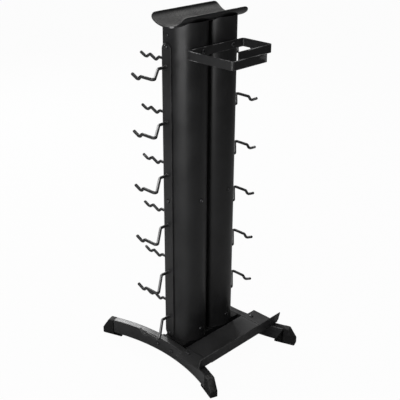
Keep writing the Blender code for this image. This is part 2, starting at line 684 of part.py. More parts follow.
def build_tray():
    """One folded sheet: side flanges, a set-down middle, cut-back rear corners and the leaning lip."""
    flange = TRAY_FLANGE_BOTTOM + TRAY_SHEET / 2
    floor = flange - TRAY_SET_DOWN
    lean = math.tan(LIP_LEAN)
    tangent = LIP_BEND_RADIUS * math.tan((math.pi / 2 - LIP_LEAN) / 2)
    centre = (TRAY_BEND_Y + TRAY_SHEET / 2 + tangent, floor + LIP_BEND_RADIUS)
    bend = arc(centre, LIP_BEND_RADIUS, -math.pi / 2, -math.pi + LIP_LEAN, 3)
    last_y, last_z = bend[-1]
    rise = LIP_TOP - last_z
    columns = [(-1, 1), (-1, 0), (-1, -1), (1, -1), (1, 0), (1, 1)]
    reach = {1: TRAY_HALF_WIDTH, 0: TRAY_STEP_OUTER, -1: TRAY_STEP_INNER}
    rows = []
    for y, z in [(TRAY_REAR, floor)] + bend:
        row = []
        for sign, place in columns:
            lift = TRAY_SET_DOWN if place >= 0 else 0.0
            forward = lean * lift if y < TRAY_REAR else 0.0
            row.append((sign * reach[place], y - forward, z + lift))
        rows.append(row)
    reach[1] = LIP_HALF_WIDTH
    rows.append([(sign * reach[place], last_y - rise * lean, LIP_TOP) for sign, place in columns])
    tray = folded_sheet("front_tray", rows, TRAY_SHEET)
    low = flange - CUT_REACH
    high = flange + CUT_REACH
    for side, sign in SIDES:
        near, far = sorted((sign * (TRAY_STEP_OUTER + LIP_BEND_RADIUS / 2),
                            sign * (TRAY_HALF_WIDTH + CUT_REACH)))
        corner_loop = box_loop(near, far, TRAY_FLANGE_REAR, TRAY_REAR + CUT_REACH)
        corner = outline(f"tray_corner_{side}", [corner_loop], "XY", low, high, CUTTERS)
        combine(tray, corner, "DIFFERENCE")
        place = (sign * leg_x(TRAY_SCREW_Y), TRAY_SCREW_Y)
        combine(tray, bores(f"tray_bore_{side}", "Z", [place], low, high), "DIFFERENCE")
        near, far = sorted((sign * TRAY_HALF_WIDTH, sign * (LIP_HALF_WIDTH + CUT_REACH)))
        relief_loop = box_loop(near, far, low, flange + LIP_NOTCH)
        relief = outline(f"lip_relief_{side}", [relief_loop], "XZ",
                         TRAY_BEND_Y - CUT_REACH, TRAY_BEND_Y + CUT_REACH, CUTTERS)
        combine(tray, relief, "DIFFERENCE")
    finish(tray, "tray_paint")


def screw_mesh(name, grip, head_radius=HEAD_RADIUS, head_height=HEAD_HEIGHT):
    """A domed screw with its nut, head up, the underside of the head at the origin."""
    end = -(grip + NUT_THICKNESS + SHANK_TAIL)
    dome = [(head_radius * math.sin(a), HEAD_RIM + (head_height - HEAD_RIM) * math.cos(a))
            for a in (0.0, math.radians(48), math.radians(90))]
    profile = dome + [(head_radius, 0.0), (SHANK_RADIUS, 0.0), (SHANK_RADIUS, end), (0.0, end)]
    mesh = bpy.data.meshes.new(name + "_profile")
    mesh.from_pydata([(x, 0.0, z) for x, z in profile], [(i, i + 1) for i in range(len(profile) - 1)], [])
    turned = mesh_object(name + "_profile", mesh, PARTS)
    screw = turned.modifiers.new("turn", "SCREW")
    screw.steps = SCREW_STEPS
    screw.render_steps = SCREW_STEPS
    screw.use_merge_vertices = True
    screw.merge_threshold = 0.00001
    shape = bmesh.new()
    bmesh.ops.create_cone(shape, cap_ends=True, segments=6, radius1=NUT_RADIUS, radius2=NUT_RADIUS,
                          depth=NUT_THICKNESS)
    nut_mesh = bpy.data.meshes.new(name + "_nut")
    shape.to_mesh(nut_mesh)
    shape.free()
    nut = mesh_object(name + "_nut", nut_mesh, CUTTERS, (0, 0, -grip - NUT_THICKNESS / 2))
    combine(turned, nut, "UNION")
    made = baked_mesh(turned, name)
    bpy.data.objects.remove(turned)
    bpy.data.objects.remove(nut)
    return made


def place_screw(name, mesh, location, rotation):
    finish(mesh_object(name, mesh, PARTS, location, rotation), "screw_black")


def build_screws():
    """Every screw with its nut, each a clearance away from what it holds."""
    facing_front = (math.pi / 2, 0, 0)
    depth = STRIP_FACE_Y - COLUMN_FRONT + 2 * GAP
    through = screw_mesh("through_screw", depth)
    holder_through = screw_mesh("holder_through_screw", depth + BAR_THICKNESS + GAP)
    strip = screw_mesh("strip_screw", STRIP_THICKNESS + COLUMN_WALL + 3 * GAP)
    tab = screw_mesh("trough_screw", COLUMN_WALL + TAB_THICKNESS + 3 * GAP, SMALL_HEAD_RADIUS,
                     SMALL_HEAD_HEIGHT)
    tray = screw_mesh("tray_screw", TRAY_SHEET + TUBE_WALL + 3 * GAP)
    places = ("bottom", "middle", "top")
    for side, sign in SIDES:
        outward = (0, sign * math.pi / 2, 0)
        for place, z in zip(places, FRONT_SCREW_HEIGHTS):
            at_holder = place == "top"
            face = HOLDER_BACK - BAR_THICKNESS if at_holder else COLUMN_FRONT
            place_screw(f"column_screw_{side}_{place}", holder_through if at_holder else through,
                        (sign * COLUMN_MIDDLE_X, face - GAP, z), facing_front)
        for place, offset in zip(places, SIDE_SCREW_OFFSETS):
            seat = (sign * (STRIP_FACE_X + GAP), SIDE_STRIP_Y[side], SIDE_STRIP_MIDDLE_Z + offset)
            place_screw(f"strip_screw_{side}_{place}", strip, seat, outward)
        seat = (sign * (COLUMN_SIDE_X + GAP), TROUGH_SCREW_Y, TROUGH_SCREW_Z)
        place_screw(f"trough_screw_{side}", tab, seat, outward)
        seat = (sign * leg_x(TRAY_SCREW_Y), TRAY_SCREW_Y, TRAY_FLANGE_BOTTOM + TRAY_SHEET + GAP)
        place_screw(f"tray_screw_{side}", tray, seat, (0, 0, 0))
        for place, y in zip(("front", "rear"), LEG_SCREW_Y):
            slope_gap = 3 * GAP
            face = leg_x(y) + TUBE_WIDTH / 2 + slope_gap
            grip = face - (LEG_INNER_X - GAP - CHANNEL_WALL) + GAP
            place_screw(f"leg_screw_{side}_{place}", screw_mesh(f"leg_screw_{side}_{place}", grip),
                        (sign * face, y, LEG_SCREW_Z), outward)


def build_rack():
    front_bores = bores("front_screw_bores", "Y", front_screw_places(),
                        HOLDER_BACK - CUT_REACH, STRIP_FACE_Y + CUT_REACH)
    leg_bores = bores("base_screw_bores", "X", [(y, LEG_SCREW_Z) for y in LEG_SCREW_Y],
                      -LEG_MIDDLE_X, LEG_MIDDLE_X)
    side_bores = {}
    for side, sign in SIDES:
        near, far = sorted((sign * (COLUMN_SIDE_X - CUT_REACH), sign * (STRIP_FACE_X + CUT_REACH)))
        places = [(SIDE_STRIP_Y[side], SIDE_STRIP_MIDDLE_Z + offset) for offset in SIDE_SCREW_OFFSETS]
        places.append((TROUGH_SCREW_Y, TROUGH_SCREW_Z))
        side_bores[side] = bores(f"side_screw_bores_{side}", "X", places, near, far)
    build_legs()
    build_feet()
    build_base(front_bores, leg_bores)
    build_columns(front_bores, side_bores)
    build_strips(front_bores, side_bores)
    build_hooks()
    build_trough(side_bores)
    build_holder(front_bores)
    build_tray()
    build_screws()


build_rack()
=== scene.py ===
# %% [markdown]
# # Accessory storage rack
#
# The rack is a gym's storage tower. Two tall tubes with half-round fronts stand on two bowed legs.
# Bent hooks stick out of both sides and the back, a bar holder sits high on the front, a tray lies
# at the foot and a curved trough crowns it. Nearly everything is steel in black powder coat.
#
# The measured solids come from a CAD model, which loads as a fixed frame. This notebook puts a finer
# surface in the place of each solid, gives every finish its own material, and then lights the rack
# and looks at it from the photographer's place.

# %% Load the frame
import math

import bmesh
import bpy
import numpy as np
from mathutils import Matrix


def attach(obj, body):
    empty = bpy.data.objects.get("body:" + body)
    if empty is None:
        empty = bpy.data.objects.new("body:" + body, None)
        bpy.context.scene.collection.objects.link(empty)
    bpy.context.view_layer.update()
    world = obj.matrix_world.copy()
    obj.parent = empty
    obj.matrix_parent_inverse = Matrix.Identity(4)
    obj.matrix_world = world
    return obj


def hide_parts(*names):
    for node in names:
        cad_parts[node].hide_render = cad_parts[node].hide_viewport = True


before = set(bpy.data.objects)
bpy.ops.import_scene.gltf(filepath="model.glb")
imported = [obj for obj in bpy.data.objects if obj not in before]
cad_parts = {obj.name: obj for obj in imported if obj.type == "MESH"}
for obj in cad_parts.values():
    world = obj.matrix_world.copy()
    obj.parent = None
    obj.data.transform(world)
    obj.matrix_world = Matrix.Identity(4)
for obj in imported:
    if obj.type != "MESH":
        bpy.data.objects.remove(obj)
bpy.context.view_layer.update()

# %% [markdown]
# ## How a piece is made
#
# A steel part is mostly one outline carried along one path, so each piece here is a grid of points
# that numpy works out in one go. Modelling by hand would give the same shapes, but a formula keeps
# the sizes exact and lets one function serve many pieces. Four-sided faces join neighbouring points
# of the grid, and a mesh object is made from them at the end.


# %% Grids, faces and mesh objects
def grid_faces(rows, columns, closed_rows=False, closed_columns=False):
    """Corner numbers of the quads of a grid. A closed direction joins its last line to its first."""
    row = np.arange(rows if closed_rows else rows - 1)[:, None]
    column = np.arange(columns if closed_columns else columns - 1)[None, :]
    next_row = (row + 1) % rows
    next_column = (column + 1) % columns
    corners = [row * columns + column, row * columns + next_column,
               next_row * columns + next_column, next_row * columns + column]
    return np.stack(corners, -1).reshape(-1, 4).tolist()


def grid_shape(points, worn, kind="capped"):
    """Points, faces and edge mask of a grid: an open sheet, a capped bar, or a hollow closed both ways."""
    rows, columns = points.shape[:2]
    faces = grid_faces(rows, columns, kind == "hollow", kind != "sheet")
    if kind == "capped":
        last = (rows - 1) * columns
        faces += [list(range(columns)), list(range(last, last + columns))]
    return points.reshape(-1, 3), faces, worn.ravel()


def unit(vectors):
    """Vectors along the last axis, each made one unit long."""
    return vectors / np.linalg.norm(vectors, axis=-1, keepdims=True)


def join(*shapes):
    """Several (points, faces, edge mask) shapes as one, with the face numbers moved on."""
    start = np.cumsum([0] + [len(shape[0]) for shape in shapes])
    faces = [[int(corner + first) for corner in face] for shape, first in zip(shapes, start)
             for face in shape[1]]
    return np.concatenate([s[0] for s in shapes]), faces, np.concatenate([s[2] for s in shapes])


def put_in_scene(name, data):
    """A new object with its data, linked to the scene."""
    made = bpy.data.objects.new(name, data)
    bpy.context.scene.collection.objects.link(made)
    return made


def make_piece(name, shape, finish, replaced=(), sharp_degrees=38):
    """Put a closed shape into a mesh object that rides on the rack, and hide the solids it replaces.

    The third part of the shape says how near each point is to a bare edge, for the worn paint
    and for the highlight lines that some finishes paint along their edges.
    """
    points, faces, mask = shape
    mesh = bpy.data.meshes.new(name)
    mesh.from_pydata(points.tolist(), [], faces)
    mesh.attributes.new("edge", "FLOAT", "POINT").data.foreach_set("value", mask.astype(np.float32))
    tidy = bmesh.new()
    tidy.from_mesh(mesh)
    bmesh.ops.recalc_face_normals(tidy, faces=tidy.faces)
    tidy.to_mesh(mesh)
    tidy.free()
    mesh.shade_smooth()
    mesh.set_sharp_from_angle(angle=math.radians(sharp_degrees))
    mesh.materials.append(FINISHES[finish])
    piece = put_in_scene(name, mesh)
    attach(piece, "root")
    if replaced:
        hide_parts(*replaced)
    return piece


def soften(piece, width, segments):
    """Round every sharp edge of a piece, as a fold or a deburred rim is."""
    bevel = piece.modifiers.new("soft_edges", "BEVEL")
    bevel.width = width
    bevel.segments = segments
    bevel.limit_method = "ANGLE"
    bevel.angle_limit = math.radians(50)


print("grid and mesh helpers ready")

# %% [markdown]
# ## Effects that several finishes share
#
# Powder coat is sprayed on as dust and baked, which leaves a fine pebbled skin: small bumps a
# millimetre or two across, and slightly duller and shinier patches. Handling rubs the paint thin
# along edges, and house dust settles on whatever faces up. Turned up high, these two also paint
# highlights: pale lines along edges and tips, and a lighter inside to the trough. Each effect is
# one node group, so that each finish places it with its own strengths.


# %% Node helpers
def new_group(name, inputs, outputs):
    """An empty shader node group with named float, colour or vector sockets."""
    group = bpy.data.node_groups.new(name, "ShaderNodeTree")
    for label, kind, value in inputs:
        socket = group.interface.new_socket(label, in_out="INPUT", socket_type=f"NodeSocket{kind}")
        if value is not None:
            socket.default_value = value
    for label, kind in outputs:
        group.interface.new_socket(label, in_out="OUTPUT", socket_type=f"NodeSocket{kind}")
    entry = group.nodes.new("NodeGroupInput")
    leave = group.nodes.new("NodeGroupOutput")
    return group, entry.outputs, leave.inputs


def feed(tree, socket, value):
    """Link another socket to this one, or set it to a value."""
    if isinstance(value, bpy.types.NodeSocket):
        tree.links.new(value, socket)
    else:
        socket.default_value = value


def add_node(tree, kind, settings=(), **values):
    """A node with its settings, and with sockets that are linked or set by name."""
    node = tree.nodes.new(kind)
    for label, setting in dict(settings).items():
        setattr(node, label, setting)
    for label, value in values.items():
        feed(tree, node.inputs[label.replace("_", " ")], value)
    return node


def calculate(tree, operation, first, second, clamp=False):
    """One Math node. Each of its two inputs is a socket or a number."""
    node = add_node(tree, "ShaderNodeMath", {"operation": operation, "use_clamp": clamp})
    feed(tree, node.inputs[0], first)
    feed(tree, node.inputs[1], second)
    return node.outputs[0]


def stretch(tree, value, low, high, to_low, to_high):
    """Map Range with smooth ends, from one range of values to another."""
    node = add_node(tree, "ShaderNodeMapRange", {"interpolation_type": "SMOOTHSTEP"}, Value=value,
                    From_Min=low, From_Max=high, To_Min=to_low, To_Max=to_high)
    return node.outputs["Result"]


def mix_colours(tree, share, first, second):
    """Mix two colours, each a socket or four numbers. The node's colour sockets are found by place."""
    node = add_node(tree, "ShaderNodeMix", {"data_type": "RGBA"})
    for number, value in ((0, share), (6, first), (7, second)):
        feed(tree, node.inputs[number], value)
    return node.outputs[2]


def noise(tree, place, scale, detail, roughness=0.5):
    """Fractal noise between 0 and 1."""
    return add_node(tree, "ShaderNodeTexNoise", Vector=place, Scale=scale, Detail=detail,
                    Roughness=roughness).outputs["Fac"]


print("node helpers ready")

# %% Powder grain, edge wear and dust, also used to paint highlights
group, given, wanted = new_group(
    "powder_grain",
    [("Vector", "Vector", None), ("Scale", "Float", 700.0), ("Pebbles", "Float", 1.0)],
    [("Height", "Float"), ("Patches", "Float")])
pebbles = noise(group, given["Vector"], given["Scale"], 3.0, 0.55)
cells = add_node(group, "ShaderNodeTexVoronoi", {"feature": "SMOOTH_F1"}, Vector=given["Vector"],
                 Scale=calculate(group, "MULTIPLY", given["Scale"], 0.45), Smoothness=0.8)
patches = noise(group, given["Vector"], 9.0, 4.0, 0.6)
hollows = calculate(group, "MULTIPLY", cells.outputs["Distance"], 0.35)
relief = calculate(group, "SUBTRACT", pebbles, hollows)
group.links.new(calculate(group, "MULTIPLY", relief, given["Pebbles"]), wanted["Height"])
group.links.new(stretch(group, patches, 0.3, 0.7, 0.0, 1.0), wanted["Patches"])
POWDER_GRAIN = group

# Edge wear; on the hooks, the trough and the holder it is turned up into painted highlight lines.
group, given, wanted = new_group(
    "edge_wear_and_glint",
    [("Vector", "Vector", None), ("Edge", "Float", 0.0), ("Amount", "Float", 0.5)],
    [("Mask", "Float")])
rub = noise(group, given["Vector"], 120.0, 5.0, 0.7)
wave = noise(group, given["Vector"], 14.0, 2.0)
worn = calculate(group, "MULTIPLY", rub, stretch(group, wave, 0.4, 0.65, 0.5, 1.2))
near = calculate(group, "MULTIPLY", stretch(group, given["Edge"], 0.35, 1.0, 0.0, 1.0), worn)
group.links.new(calculate(group, "MULTIPLY", stretch(group, near, 0.35, 0.7, 0.0, 1.0),
                          given["Amount"], clamp=True), wanted["Mask"])
EDGE_WEAR_AND_GLINT = group

# Dust on upward faces; the trough lays it on so thickly that it is a painted highlight.
group, given, wanted = new_group(
    "dust_and_highlight_layer",
    [("Vector", "Vector", None), ("Normal", "Vector", None), ("Amount", "Float", 0.3)],
    [("Mask", "Float")])
facing = add_node(group, "ShaderNodeSeparateXYZ", Vector=given["Normal"]).outputs["Z"]
specks = noise(group, given["Vector"], 260.0, 4.0, 0.75)
drift = noise(group, given["Vector"], 6.0, 3.0)
lying = calculate(group, "MULTIPLY", stretch(group, facing, 0.25, 0.95, 0.0, 1.0),
                  stretch(group, specks, 0.42, 0.68, 0.15, 1.0))
lying = calculate(group, "MULTIPLY", lying, stretch(group, drift, 0.3, 0.7, 0.4, 1.0))
group.links.new(calculate(group, "MULTIPLY", lying, given["Amount"], clamp=True), wanted["Mask"])
DUST_AND_HIGHLIGHT_LAYER = group
print("node groups:", [g.name for g in bpy.data.node_groups])

# %% [markdown]
# ## Finishes
#
# All the sheet and tube has one satin black powder coat, but each batch and each shape takes it a
# little differently, so each kind of part has its own values. The base channel is set darker than
# the legs, as painted shade for the shade it stands in. The hooks, the holder and the trough have
# the palest edges: partly paint rubbed thin, because things hang on them or lie in them, and partly
# painted highlight lines. The trough's dust is laid on so thickly that it is a painted highlight on
# its inside. The screws have a dark oxide, and the feet are matte rubber.

# %% Painted steel, rubber and oxide screws
# Dust colour; laid on thickly in the trough, it is a painted highlight there.
DUST_AND_HIGHLIGHT_COLOUR = (0.170, 0.168, 0.164, 1.0)


def start_material(name, colour, roughness, specular, metallic=0.0):
    """A Principled material whose steady values sit on the shader's own sockets."""
    made = bpy.data.materials.new(name)
    made.use_nodes = True
    made.diffuse_color = (*colour, 1.0)
    tree = made.node_tree
    shader = tree.nodes["Principled BSDF"]
    steady = {"Base Color": (*colour, 1.0), "Roughness": roughness, "Metallic": metallic,
              "Specular IOR Level": specular}
    for label, value in steady.items():
        shader.inputs[label].default_value = value
    place = tree.nodes.new("ShaderNodeTexCoord").outputs["Object"]
    normal = tree.nodes.new("ShaderNodeNewGeometry").outputs["Normal"]
    return made, tree, shader, place, normal


def place_group(tree, group, **values):
    """The outputs of a node group placed in a material."""
    return add_node(tree, "ShaderNodeGroup", {"node_tree": group}, **values).outputs


def two_tones(colour, dark, light):
    """A darker and a lighter version of a colour, by two factors."""
    return [tuple(factor * part for part in colour) + (1.0,) for factor in (dark, light)]


def rubbed_and_glinting_edges(tree, place, amount):
    """Mask of the places where handling has rubbed the piece's own edges.
    Some finishes also paint highlight lines with it.
    """
    edge = add_node(tree, "ShaderNodeAttribute", {"attribute_name": "edge"}).outputs["Fac"]
    return place_group(tree, EDGE_WEAR_AND_GLINT, Vector=place, Edge=edge, Amount=amount)["Mask"]


def finish_material(tree, shader, tone, sheen, height, strength, depth):
    """Link a colour, a roughness and a bump of the given height to the shader."""
    bump = add_node(tree, "ShaderNodeBump", Strength=strength, Distance=depth, Height=height)
    tree.links.new(tone, shader.inputs["Base Color"])
    tree.links.new(sheen, shader.inputs["Roughness"])
    tree.links.new(bump.outputs["Normal"], shader.inputs["Normal"])


def painted(name, grey, roughness, wear_and_glint, specular=0.5, bare_and_glint_grey=0.13, dust_and_highlight=0.25, grain=700.0, pebbles=1.0,
            depth=0.00012):
    """Black powder coat: pebbled skin, thin paint on rubbed edges, and a little dust on top.
    A high edge amount and a pale edge grey paint highlight lines on edges and tips, and a thick
    dust amount paints a highlight on upward faces.
    """
    colour = (grey, grey, grey + 0.0005)
    made, tree, shader, place, normal = start_material(name, colour, roughness, specular)
    skin = place_group(tree, POWDER_GRAIN, Vector=place, Scale=grain, Pebbles=pebbles)
    wear_and_glint_mask = rubbed_and_glinting_edges(tree, place, wear_and_glint)
    dust_and_highlight_mask = place_group(tree, DUST_AND_HIGHLIGHT_LAYER, Vector=place, Normal=normal, Amount=dust_and_highlight)["Mask"]
    tone = mix_colours(tree, skin["Patches"], *two_tones(colour, 0.82, 1.22))
    # Pale edges: rubbed paint, and on some finishes painted highlight lines as well.
    tone = mix_colours(tree, wear_and_glint_mask, tone, (bare_and_glint_grey, bare_and_glint_grey, 1.015 * bare_and_glint_grey, 1.0))
    # Dust on upward faces; laid on thickly, as in the trough, it is a painted highlight.
    tone = mix_colours(tree, dust_and_highlight_mask, tone, DUST_AND_HIGHLIGHT_COLOUR)
    sheen = stretch(tree, skin["Patches"], 0.0, 1.0, roughness - 0.04, roughness + 0.05)
    sheen = calculate(tree, "SUBTRACT", sheen, calculate(tree, "MULTIPLY", wear_and_glint_mask, 0.12))
    sheen = calculate(tree, "ADD", sheen, calculate(tree, "MULTIPLY", dust_and_highlight_mask, 0.5), clamp=True)
    finish_material(tree, shader, tone, sheen, skin["Height"], 0.35, depth)
    return made


def rubber(name, colour):
    """Moulded rubber: matte, with fine pores, scuffs where it is kicked, and dust."""
    made, tree, shader, place, normal = start_material(name, colour, 0.66, 0.22)
    pores = noise(tree, place, 900.0, 3.0, 0.7)
    scuffs = noise(tree, place, 45.0, 6.0, 0.75)
    wear_and_glint_mask = rubbed_and_glinting_edges(tree, place, 0.7)
    dust_and_highlight_mask = place_group(tree, DUST_AND_HIGHLIGHT_LAYER, Vector=place, Normal=normal, Amount=0.35)["Mask"]
    mark = stretch(tree, scuffs, 0.52, 0.72, 0.0, 0.5)
    tone = mix_colours(tree, mark, (*colour, 1.0), (0.030, 0.030, 0.030, 1.0))
    tone = mix_colours(tree, wear_and_glint_mask, tone, (0.045, 0.045, 0.045, 1.0))
    tone = mix_colours(tree, dust_and_highlight_mask, tone, DUST_AND_HIGHLIGHT_COLOUR)
    sheen = stretch(tree, scuffs, 0.3, 0.7, 0.58, 0.74)
    finish_material(tree, shader, tone, sheen, pores, 0.4, 0.0001)
    return made


def oxide_steel(name, colour):
    """Dark oxide on screws: a thin metal finish, brighter where a tool has touched it."""
    made, tree, shader, place, _ = start_material(name, colour, 0.34, 0.5, metallic=0.85)
    grain = noise(tree, place, 1500.0, 4.0, 0.65)
    stain = noise(tree, place, 220.0, 3.0)
    tone = mix_colours(tree, stretch(tree, stain, 0.35, 0.65, 0.0, 1.0), *two_tones(colour, 0.8, 1.3))
    tone = mix_colours(tree, rubbed_and_glinting_edges(tree, place, 0.9), tone, (0.30, 0.30, 0.31, 1.0))
    finish_material(tree, shader, tone, stretch(tree, stain, 0.3, 0.7, 0.28, 0.42), grain, 0.25, 0.00005)
    return made


PAINTS = {
    "leg_paint": dict(grey=0.013, roughness=0.33, wear_and_glint=0.15, dust_and_highlight=0.12),
    # The base channel is darker than the legs as painted shade, for the shade it stands in.
    "base_paint": dict(grey=0.004, roughness=0.56, wear_and_glint=0.1, specular=0.15),
    "column_paint": dict(grey=0.010, roughness=0.42, wear_and_glint=0.15, pebbles=0.8),
    "strip_paint": dict(grey=0.016, roughness=0.44, wear_and_glint=0.2, grain=520.0, depth=0.0002),
    # The hooks', trough's and holder's high edge amounts and pale edge greys paint highlight lines.
    "hook_paint": dict(grey=0.014, roughness=0.42, wear_and_glint=1.4, specular=0.55, bare_and_glint_grey=0.42, grain=900.0,
                       pebbles=0.6),
    # The trough's thick dust paints a highlight on its inside.
    "trough_paint": dict(grey=0.012, roughness=0.40, wear_and_glint=1.6, bare_and_glint_grey=0.45, dust_and_highlight=1.7),
    "holder_paint": dict(grey=0.014, roughness=0.38, wear_and_glint=1.0, bare_and_glint_grey=0.34, dust_and_highlight=0.05),
    "tray_paint": dict(grey=0.016, roughness=0.46, wear_and_glint=0.25, specular=0.38, dust_and_highlight=0.10),
}
FINISHES = {name: painted(name, **values) for name, values in PAINTS.items()}
FINISHES["foot_rubber"] = rubber("foot_rubber", (0.005, 0.005, 0.005))
FINISHES["screw_black"] = oxide_steel("screw_black", (0.055, 0.055, 0.057))
print("finishes:", sorted(FINISHES))

# %% [markdown]
# ## Outlines and paths
#
# Three tools cover nearly every piece. An outline with rounded corners comes with the direction in
# which each of its points faces, so that it can be made smaller or larger evenly. A plate is such an
# outline with a thickness and soft edges. A sweep carries a cross-section along a path, as a tube
# bender or a press brake does with real bar.


# %% Rounded outlines
def rounded_outline(corners, radii, steps=6, margin=0.0, closed=True):
    """Points, outward normals and edge mask of a polygon with arcs in place of its corners.

    Each arc starts and ends where a circle of that radius touches the two sides. With a margin there
    is one more point on each side of an arc, which keeps the worn edge narrow. Corners run
    anticlockwise on a closed outline.
    """
    corners = np.asarray(corners, float)
    radii = np.broadcast_to(np.asarray(radii, float), (len(corners),))
    runs = []
    for i, (corner, radius) in enumerate(zip(corners, radii)):
        if not closed and i in (0, len(corners) - 1):
            other = corners[1] if i == 0 else corners[-2]
            along = unit(other - corner if i == 0 else corner - other)
            runs.append((corner[None], np.array([[along[1], -along[0]]]), np.ones(1)))
            continue
        along_in = unit(corner - corners[i - 1])
        along_out = unit(corners[(i + 1) % len(corners)] - corner)
        turn = math.atan2(along_in[0] * along_out[1] - along_in[1] * along_out[0], along_in @ along_out)
        side = math.copysign(1.0, turn)
        reach = radius * math.tan(abs(turn) / 2)
        centre = corner - along_in * reach + side * radius * np.array([-along_in[1], along_in[0]])
        heading = math.atan2(along_in[1], along_in[0]) + np.linspace(0.0, turn, steps + 1)
        facing = np.stack([np.sin(heading), -np.cos(heading)], -1)
        arc = centre + side * radius * facing
        worn = np.ones(steps + 1)
        if margin:
            facing = np.concatenate([facing[:1], facing, facing[-1:]])
            arc = np.concatenate([arc[:1] - along_in * margin, arc, arc[-1:] + along_out * margin])
            worn = np.pad(worn, 1)
        runs.append((arc, facing, worn))
    return [np.concatenate(part) for part in zip(*runs)]


def plate(outline, plane, low, high, edge, steps=3, margin=0.0015):
    """A plate in the XZ or YZ plane, between two levels along the third axis.

    Its rim is a quarter round of the given radius at both faces. A ring stands in from the outline by
    edge * (1 - sin a) at a height of edge * (1 - cos a) from its face, for angles a from 0 to a right
    angle.
    """
    points, normals = outline[:2]
    angle = np.linspace(0.0, math.pi / 2, steps + 1)
    inward = np.concatenate([[edge + margin], edge * (1 - np.sin(angle))])
    height = np.concatenate([[0.0], edge * (1 - np.cos(angle))])
    inward = np.concatenate([inward, inward[::-1]])
    level = np.concatenate([low + height, high - height[::-1]])
    rings = points[None] - inward[:, None, None] * normals[None]
    worn = np.ones(rings.shape[:2])
    worn[[0, -1]] = 0.0
    third = np.broadcast_to(level[:, None], worn.shape)[..., None]
    order = {"XZ": [0, 2, 1], "YZ": [2, 0, 1]}[plane]
    return grid_shape(np.concatenate([rings, third], -1)[..., order], worn)


print("outline helpers ready")


# %% Sweeps
def box_section(width, height, radius, steps=4, margin=0.002):
    """Cross-section of a bar or tube: a rounded box about the origin, anticlockwise."""
    x, y = width / 2, height / 2
    return rounded_outline([(x, -y), (x, y), (-x, y), (-x, -y)], radius, steps, margin)


def plan_frames(path):
    """Directions along and across a level path, with the across one longer where the path turns."""
    step = unit(np.diff(path, axis=0))
    ahead = np.concatenate([step, step[-1:]])
    behind = np.concatenate([step[:1], step])
    along = unit(ahead + behind)
    stretch_by = 1.0 / np.sum(along * behind, axis=1)
    return along, np.stack([along[:, 1], -along[:, 0]], -1) * stretch_by[:, None]


def carried(section_rings, path, across, middle_z):
    """Place each ring of section points (across, up) at its own station of a level path."""
    flat = path[:, None, :] + across[:, None, :] * section_rings[..., :1]
    return np.concatenate([flat, middle_z + section_rings[..., 1:]], -1)


def swept_bar(path, section, middle_z, edge, steps=3):
    """A solid bar along a level path, with its two ends rounded over by the given radius."""
    points, normals, mask = section
    along, across = plan_frames(path)
    angle = np.linspace(0.0, math.pi / 2, steps + 1)[:-1]
    inward = edge * (1 - np.sin(angle))
    back = edge * (1 - np.cos(angle))
    back = np.concatenate([back, [edge]])[:, None]
    stations = np.concatenate([path[0] + along[0] * back, path[1:-1], path[-1] - along[-1] * back[::-1]])
    sides = np.concatenate([np.repeat(across[:1], steps + 1, 0), across[1:-1],
                            np.repeat(across[-1:], steps + 1, 0)])
    shrink = np.concatenate([inward, np.zeros(len(path)), inward[::-1]])
    rings = points[None] - shrink[:, None, None] * normals[None]
    worn = np.repeat(mask[None], len(rings), 0)
    worn[: steps + 1] = 1.0
    worn[-steps - 1:] = 1.0
    return grid_shape(carried(rings, stations, sides, middle_z), worn)


def swept_tube(path, section, middle_z, wall):
    """A hollow tube along a level path: the outer skin there, the inner skin back, closed at the ends."""
    points, normals, mask = section
    across = plan_frames(path)[1]
    outer, inner = (carried(np.repeat(ring[None], len(path), 0), path, across, middle_z)
                    for ring in (points, points - wall * normals))
    placed = np.concatenate([outer, inner[::-1]])
    worn = np.repeat(np.stack([mask, np.zeros(len(mask))]), len(path), 0)
    return grid_shape(placed, worn, "hollow")


print("sweep helpers ready")

# %% [markdown]
# ## Legs
#
# Each leg is a rectangular tube, 30 by 60 mm, rolled to a wide bow so that its ends splay outward.
# A curve object with a bevel could do it, but a sweep of the rounded section along the arc also
# gives the wall inside and keeps the corners' radius even.

# %% Bowed leg tubes
LEG_HALF_LENGTH = 0.3134
LEG_MIDDLE_X = 0.1742
LEG_SPLAY = 0.0681
TUBE_WIDTH = 0.030
TUBE_HEIGHT = 0.060
TUBE_WALL = 0.0025
TUBE_CORNER = 0.004
TUBE_BOTTOM = 0.0098
TUBE_TOP = TUBE_BOTTOM + TUBE_HEIGHT
FOOT_LENGTH = 0.052
LEG_RADIUS = (LEG_HALF_LENGTH ** 2 + LEG_SPLAY ** 2) / (2 * LEG_SPLAY)
SEAM_ANGLE = math.asin(LEG_HALF_LENGTH / LEG_RADIUS) - FOOT_LENGTH / LEG_RADIUS
LEG_STATIONS = 81
SIDES = (("left", -1), ("right", 1))


def leg_x(y):
    """How far from the middle a leg's centre line is at a given y."""
    return LEG_MIDDLE_X + LEG_RADIUS - np.sqrt(LEG_RADIUS ** 2 - y ** 2)


tube_section = box_section(TUBE_WIDTH, TUBE_HEIGHT, TUBE_CORNER, steps=5)
bow_y = LEG_RADIUS * np.sin(np.linspace(-SEAM_ANGLE, SEAM_ANGLE, LEG_STATIONS))
for side, sign in SIDES:
    bow = np.stack([sign * leg_x(bow_y), bow_y], -1)
    tube = swept_tube(bow, tube_section, TUBE_BOTTOM + TUBE_HEIGHT / 2, TUBE_WALL)
    leg = make_piece(f"bowed_leg_{side}", tube, "leg_paint", [f"leg_{side}"])
    print(leg.name, len(leg.data.polygons), "faces")

# %% [markdown]
# ## Rubber feet
#
# A foot is one moulding: a cap with a sloping nose that closes the tube's end, and a thin sole that
# runs back under the tube. Its side view is one outline, so it is made as a thick plate across the
# tube, with a soft edge all round as a mould gives.

